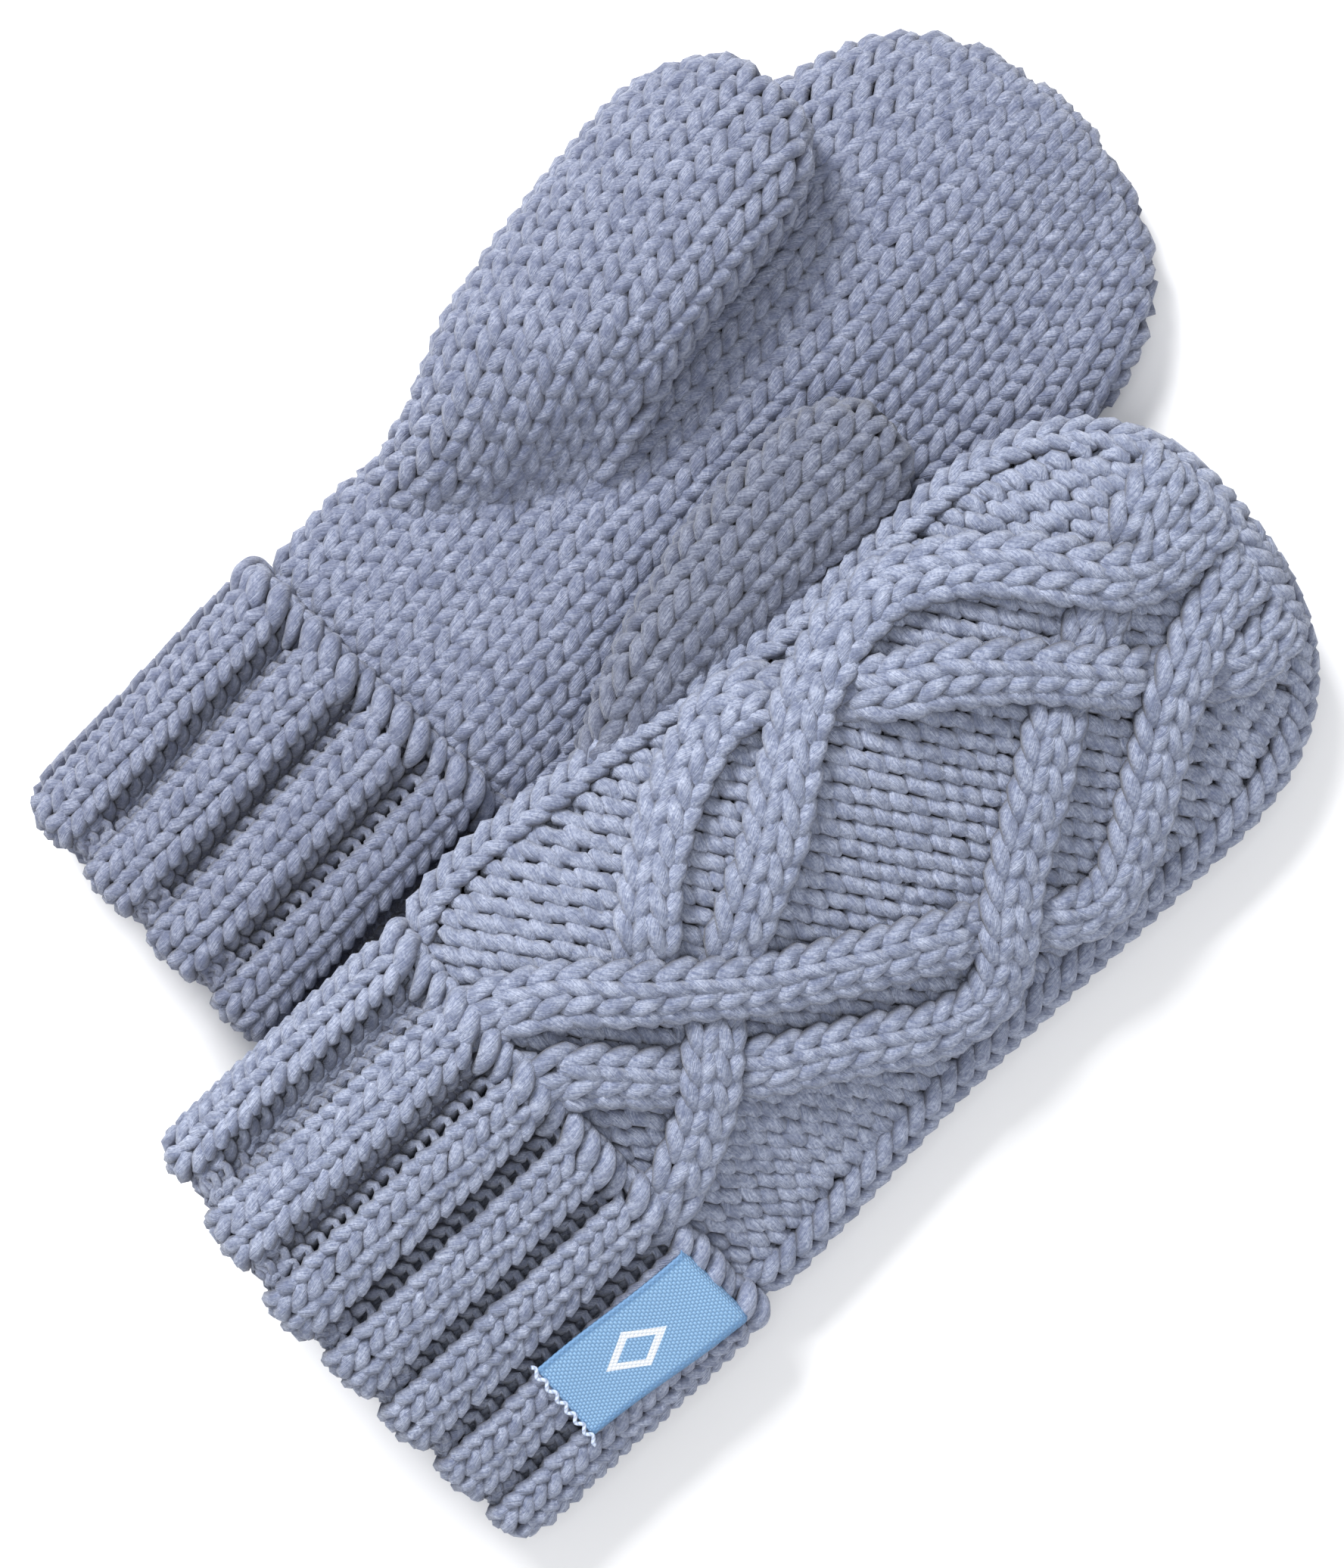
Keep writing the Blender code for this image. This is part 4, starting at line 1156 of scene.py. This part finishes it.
def add_shell(name, mitten, sheet, thickness_mm):
    """A soft bag: the sheet's surface and a second one inside it, joined at the mouth, closed at the tip."""
    columns = 72
    share = np.arange(columns) / columns
    rows = []
    picked = np.unique(np.linspace(0, len(sheet.rows) - 1, 46).astype(int))
    for depth, order in ((0.0, picked[::-1]), (thickness_mm, picked)):
        for row in order:
            s = sheet.low[row] + share * (sheet.high[row] - sheet.low[row])
            points, normals = sheet.at(s, np.full(columns, sheet.rows[row]))
            rows.append(points - normals * depth)
    first, last = [np.repeat(row.mean(axis=0)[None], columns, axis=0) for row in (rows[0], rows[-1])]
    return add_grid(name, mitten, np.array([first, *rows, last]), FLEECE)


LINING_IN_CUFF, LINING_UNDER_KNIT, LINING_FROM, LINING_THICKNESS = 10.2, 2.7, 16.0, 1.0


def lining_sheet(mitten):
    """The lining's surface, from inside the wrist ribbing to the tip."""
    inset = YARN_INSET + LINING_UNDER_KNIT
    v, ys, wides, highs = hand_profile(LINING_FROM, inset)

    def point(angle, v_at):
        in_cuff = step(v_at, NECK_TO, NECK_FROM)
        wide = np.interp(v_at, v, wides) * (1 - in_cuff) + (CUFF_HALF_WIDTH - LINING_IN_CUFF) * in_cuff
        high = np.interp(v_at, v, highs) * (1 - in_cuff) + (CUFF_HALF_HEIGHT - LINING_IN_CUFF) * in_cuff
        x, z = ellipse(angle, wide, high)
        middle = HAND_HALF_HEIGHT + (CUFF_HALF_HEIGHT - HAND_HALF_HEIGHT) * in_cuff - SETTLE
        return mitten.settle(x, np.interp(v_at, v, ys), middle + z, inset)

    return Sheet(point, v)


HEM_INSET, HEM_LOOP, HEM_THREAD = 9.7, 3.0, 0.38
HEM_ROWS = ((13.4, 1.5, 0.0), (13.4, 1.5, math.pi), (15.2, 0.3, 0.0))


def add_hem(mitten):
    """Overlock loops where the lining meets the wrist ribbing. HEM_ROWS holds v, sway and lag."""
    sheet = cuff_sheet(mitten, HEM_INSET, 0.0)
    strands = []
    for v_row, sway, lag in HEM_ROWS:
        low, high = sheet.span(v_row)
        s = np.linspace(low, high, round((high - low) / HEM_LOOP) * LOBE_SAMPLES, endpoint=False)
        lobe = np.arange(len(s)) / LOBE_SAMPLES * 2 * math.pi + lag
        v = v_row + sway * np.sin(lobe)
        strands.append(strand_over(sheet, s, v, 0.25 * np.cos(lobe), HEM_THREAD, True))
    add_part(mitten, "lining_hem", strands, LINING_THREAD, HIDDEN_SIDES)


LINKING_TURN, LINKING_SINKS, LINKING_OUT, LINKING_UP, LINKING_RADIUS = 5.2, 1.0, 1.0, 2.2, 1.15


def add_seam(mitten, sheet, side, part):
    """The linking yarn: a spiral that whips the two panels' edges together."""
    v = np.arange(sheet.rows[0] + 3, sheet.rows[-1] - 6, 0.45)
    low, high = sheet.span(v)
    points, normals = sheet.at(high - 0.2 if side > 0 else low + 0.2, v)
    turn = v / LINKING_TURN * 2 * math.pi
    path = points - normals * LINKING_SINKS + normals * (LINKING_OUT * np.sin(turn))[:, None]
    path[:, 2] += LINKING_UP * np.cos(turn)
    add_part(mitten, part, [Strand(path, normals, LINKING_RADIUS)], YARN_LINKING, HIDDEN_SIDES)


KNOT_TURNS, KNOT_FLAT, KNOT_YARN = 3, 0.45, 0.8
TIP_KNOT_Y, TIP_KNOT_SIZE, THUMB_KNOT_SIZE = MITTEN_LENGTH - 4.0, (2.2, 2.4), (1.3, 2.2)


def add_knot(mitten, part, centre, radius, length, material, body=None):
    """A small coil of yarn that draws a tip closed. Its size is its radius and its length."""
    t = np.linspace(0, 1, 60)
    turn = t * KNOT_TURNS * 2 * math.pi
    swell = np.sin(math.pi * np.clip(t * 0.9 + 0.05, 0, 1)) ** 0.5
    x = centre[0] + radius * swell * np.cos(turn)
    z = centre[2] + KNOT_FLAT * radius * swell * np.sin(turn)
    points = np.stack([x, centre[1] + length * t, z], axis=-1)
    normals = unit(np.stack([np.cos(turn), 0.1 * np.ones_like(t), np.sin(turn)], axis=-1))
    add_part(mitten, part, [Strand(points, normals, KNOT_YARN)], material, HIDDEN_SIDES, body)


# ---- the woven label

LABEL_COLUMNS, LABEL_ROWS, LABEL_THICKNESS = 36, 74, 0.5
LABEL_RAISED, LABEL_STITCH_RAISED = 4.2, 4.6
LABEL_SHIFT, LABEL_LEAN, LABEL_NARROWS, LABEL_SKEW = 1.2, 3.0, 0.05, 1.6
FOLD_STEPS, FOLD_FORWARD, FOLD_DOWN = 6, 1.4, 3.2
STITCH_SAMPLES, STITCH_WAVES, STITCH_OVER, STITCH_THREAD = 60, 7, 1.6, 0.42
UP_THE_PAGE = np.array([0, 1.0, 0])


def cuff_top_sheet():
    """The upper half of the right cuff, which the label lies on."""

    def point(angle, v_at):
        x, z = ellipse(angle, CUFF_HALF_WIDTH - YARN_INSET, CUFF_HALF_HEIGHT - YARN_INSET)
        return RIGHT.settle(x, v_at + 0 * x, CUFF_HALF_HEIGHT - SETTLE + z, YARN_INSET)

    return Sheet(point, np.linspace(0, 72, 40), TOP)


def label_grid(sheet, columns, rows, raise_by):
    """Points of the label: wavy across, a little narrower and shifted towards its lower end."""
    across, down = np.linspace(0, 1, columns), np.linspace(0, 1, rows)
    t = down[:, None]
    middle = (LABEL_X[0] + LABEL_X[1]) / 2 - LABEL_LEAN * (1 - t) + LABEL_SHIFT
    x = middle + LABEL_WIDTH * (1 - LABEL_NARROWS * (1 - t)) * (across[None] - 0.5)
    y = LABEL_Y[0] + (LABEL_LENGTH + LABEL_OVER) * t - LABEL_SKEW * (across[None] - 0.5) * (1 - t)
    s, v = sheet.locate(x.ravel(), y.ravel())
    points, normals = sheet.at(s, v)
    bend = 0.5 * np.sin(across * math.pi)[None] - 0.35 * np.sin(t * math.pi * 2)
    out = raise_by + bend.ravel()
    return (points + normals * out[:, None]).reshape(rows, columns, 3), normals.reshape(rows, columns, 3)


def add_label(cuff):
    """The label, whose upper end bends over the cuff's edge: a grid and its copy underneath."""
    grid, normals = label_grid(cuff, LABEL_COLUMNS, LABEL_ROWS, LABEL_RAISED)
    fold = []
    for k in range(1, FOLD_STEPS + 1):
        turn = k / FOLD_STEPS * math.pi / 2
        forward = UP_THE_PAGE * FOLD_FORWARD * math.sin(turn)
        fold.append(grid[-1] + forward - normals[-1] * FOLD_DOWN * (1 - math.cos(turn)))
    top = np.concatenate([grid, np.array(fold)])
    under = top - np.concatenate([normals, np.repeat(normals[-1:], FOLD_STEPS, axis=0)]) * LABEL_THICKNESS
    rim = np.concatenate([top, under[:, ::-1]], axis=1)
    first, last = [np.concatenate([end, end[::-1]]) for end in (under[0], under[-1])]

    def label_place(column, row):
        """mm across and up the label, the same on its underside."""
        column = np.where(column >= LABEL_COLUMNS, 2 * LABEL_COLUMNS - 1 - column, column)
        up = (row - 1) / (LABEL_ROWS - 1) * (LABEL_LENGTH + LABEL_OVER)
        return column / (LABEL_COLUMNS - 1) * LABEL_WIDTH, up

    node = "right_woven_label"
    obj = add_grid(node, RIGHT, np.array([first, *rim, last]), WOVEN_LABEL, label_place)
    placed(obj, "right_cuff", node)


def add_label_stitch(cuff):
    """The wavy thread across the label's lower end."""
    grid, normals = label_grid(cuff, STITCH_SAMPLES, 3, LABEL_STITCH_RAISED)
    line, line_normals = grid[0], normals[0]
    over = np.linspace(-STITCH_OVER, STITCH_OVER, STITCH_SAMPLES)[:, None]
    line = line + over * unit(line[-1] - line[0])
    wave = np.sin(np.arange(STITCH_SAMPLES) / STITCH_SAMPLES * 2 * math.pi * STITCH_WAVES)
    line = line + UP_THE_PAGE * (0.5 * wave - 0.3)[:, None] + line_normals * (0.25 * np.cos(wave))[:, None]
    strand = Strand(line, line_normals, STITCH_THREAD)
    add_part(RIGHT, "label_stitch", [strand], LABEL_THREAD, body="right_cuff")


# ---- building both mittens

LEFT_CORNER_RISE, RIGHT_CORNER_RISE = 1.5, 3.5
LEFT_THUMB_KNOT = (-43.2, LEFT_THUMB_TIP - 3.4, 31.2)


def add_left():
    palm, back = hand_sheet(LEFT, TOP), hand_sheet(LEFT, BOTTOM)
    add_palm(LEFT, palm, YARN_LEFT, SAMPLES, SIDES, thumb_root(palm))
    strands = ground(back, -1, HIDDEN_SAMPLES) + ropes(back, HIDDEN_SAMPLES)
    add_part(LEFT, "back_panel", strands, YARN_LEFT, HIDDEN_SIDES)
    add_common(LEFT, palm, LEFT_CORNER_RISE, LEFT_RIBS, YARN_LEFT)
    lining = left_thumb_sheet(palm, *LEFT_THUMB_LINING)
    add_thumb(LEFT, left_thumb_sheet(palm), LEFT_THUMB_FIRST, lining, YARN_LEFT)
    add_knot(LEFT, "thumb_knot", LEFT_THUMB_KNOT, *THUMB_KNOT_SIZE, YARN_LEFT, "left_thumb")


def add_right():
    back, palm = hand_sheet(RIGHT, TOP), hand_sheet(RIGHT, BOTTOM)
    obj = add_yarn("right_back_ground", RIGHT, ground(back, 1, SAMPLES), YARN_RIGHT)
    placed(obj, RIGHT.body, "right_back_panel")
    obj = add_yarn("right_cable_ropes", RIGHT, ropes(back, SAMPLES), YARN_RIGHT)
    placed(obj, RIGHT.body, "right_back_panel")
    add_palm(RIGHT, palm, YARN_RIGHT, HIDDEN_SAMPLES, HIDDEN_SIDES)
    add_common(RIGHT, back, RIGHT_CORNER_RISE, RIGHT_RIBS, YARN_RIGHT)
    lining = right_thumb_sheet(*RIGHT_THUMB_LINING)
    add_thumb(RIGHT, right_thumb_sheet(), RIGHT_THUMB_FIRST, lining, YARN_THUMB_SHADED)
    cuff = cuff_top_sheet()
    add_label(cuff)
    add_label_stitch(cuff)


def add_common(mitten, top, corner_rise, tops, material):
    """The cuff, the wrist ribbing, the lining, its hem, both side seams and the knot in the tip."""
    cuff = cuff_sheet(mitten, YARN_INSET, corner_rise)
    ribs = Ribs(cuff, tops)
    add_cuff(mitten, ribs, cuff, material)
    add_wrist_rib(mitten, ribs, material)
    node = mitten.prefix + "_hand_lining"
    placed(add_shell(node, mitten, lining_sheet(mitten), LINING_THICKNESS), mitten.body, node)
    add_hem(mitten)
    add_seam(mitten, top, 1, "outer_seam")
    add_seam(mitten, top, -1, "thumb_side_seam")
    middle = HAND_HALF_HEIGHT - SETTLE + (float(lift(0)) if mitten is RIGHT else 0.0)
    add_knot(mitten, "tip_knot", (0.0, TIP_KNOT_Y, middle), *TIP_KNOT_SIZE, material)


# ---- the studio

FLOOR_RADIUS = 0.95
SKY_LIGHT, SKY_SEEN = 0.42, 1.03
CAMERA_X, CAMERA_Y, CAMERA_ABOVE, CAMERA_TURN = 6.28, -9.91, 741.0, math.radians(44)
LIGHTS = {
    "key": ((-1.25, 0.30, 1.15), 0.6, 36),
    "fill": ((0.9, -0.5, 1.3), 1.4, 8),
    "top": ((0.0, 0.0, 1.8), 1.0, 9),
}


def add_floor():
    turn = np.linspace(0, 2 * math.pi, 96, endpoint=False)
    rim = FLOOR_RADIUS * np.stack([np.cos(turn), np.sin(turn), 0 * turn], axis=-1)
    mesh = bpy.data.meshes.new("floor")
    mesh.from_pydata(rim.tolist(), [], [list(range(len(rim)))])
    n = Nodes("floor")
    tone = n.mix(n.noise(n.object_place(), 3.0), (0.93, 0.93, 0.94), (0.96, 0.96, 0.97))
    add_object("floor", mesh, n.surface(tone, 0.8))


def add_light(name, place, size, power):
    """A soft square light that faces the object."""
    data = bpy.data.lights.new(name, "AREA")
    data.size, data.energy = size, power
    light = bpy.data.objects.new(name, data)
    light.location = place
    light.rotation_euler = (-light.location).to_track_quat("-Z", "Y").to_euler()
    bpy.context.scene.collection.objects.link(light)


def add_world():
    """A pale sky that lights the object softly and looks nearly white behind it."""
    world = bpy.data.worlds.new("world")
    world.use_nodes = True
    tree = world.node_tree
    background = tree.nodes["Background"]
    background.inputs["Color"].default_value = (0.95, 0.97, 1.0, 1)
    seen = tree.nodes.new("ShaderNodeLightPath")
    strength = tree.nodes.new("ShaderNodeMapRange")
    strength.inputs["To Min"].default_value = SKY_LIGHT
    strength.inputs["To Max"].default_value = SKY_SEEN
    tree.links.new(seen.outputs["Is Camera Ray"], strength.inputs["Value"])
    tree.links.new(strength.outputs["Result"], background.inputs["Strength"])
    bpy.context.scene.world = world


def add_studio():
    add_floor()
    for name, (place, size, power) in LIGHTS.items():
        add_light(name, place, size, power)
    bpy.context.scene.view_settings.view_transform = "Standard"
    add_world()
    data = bpy.data.cameras.new("camera")
    data.lens, data.sensor_width, data.clip_end = 85, 36, 20
    camera = bpy.data.objects.new("camera", data)
    camera.location = (CAMERA_X * MM, CAMERA_Y * MM, CAMERA_ABOVE * MM)
    camera.rotation_euler = (0, 0, CAMERA_TURN)
    bpy.context.scene.collection.objects.link(camera)
    bpy.context.scene.camera = camera


add_left()
add_right()
add_studio()
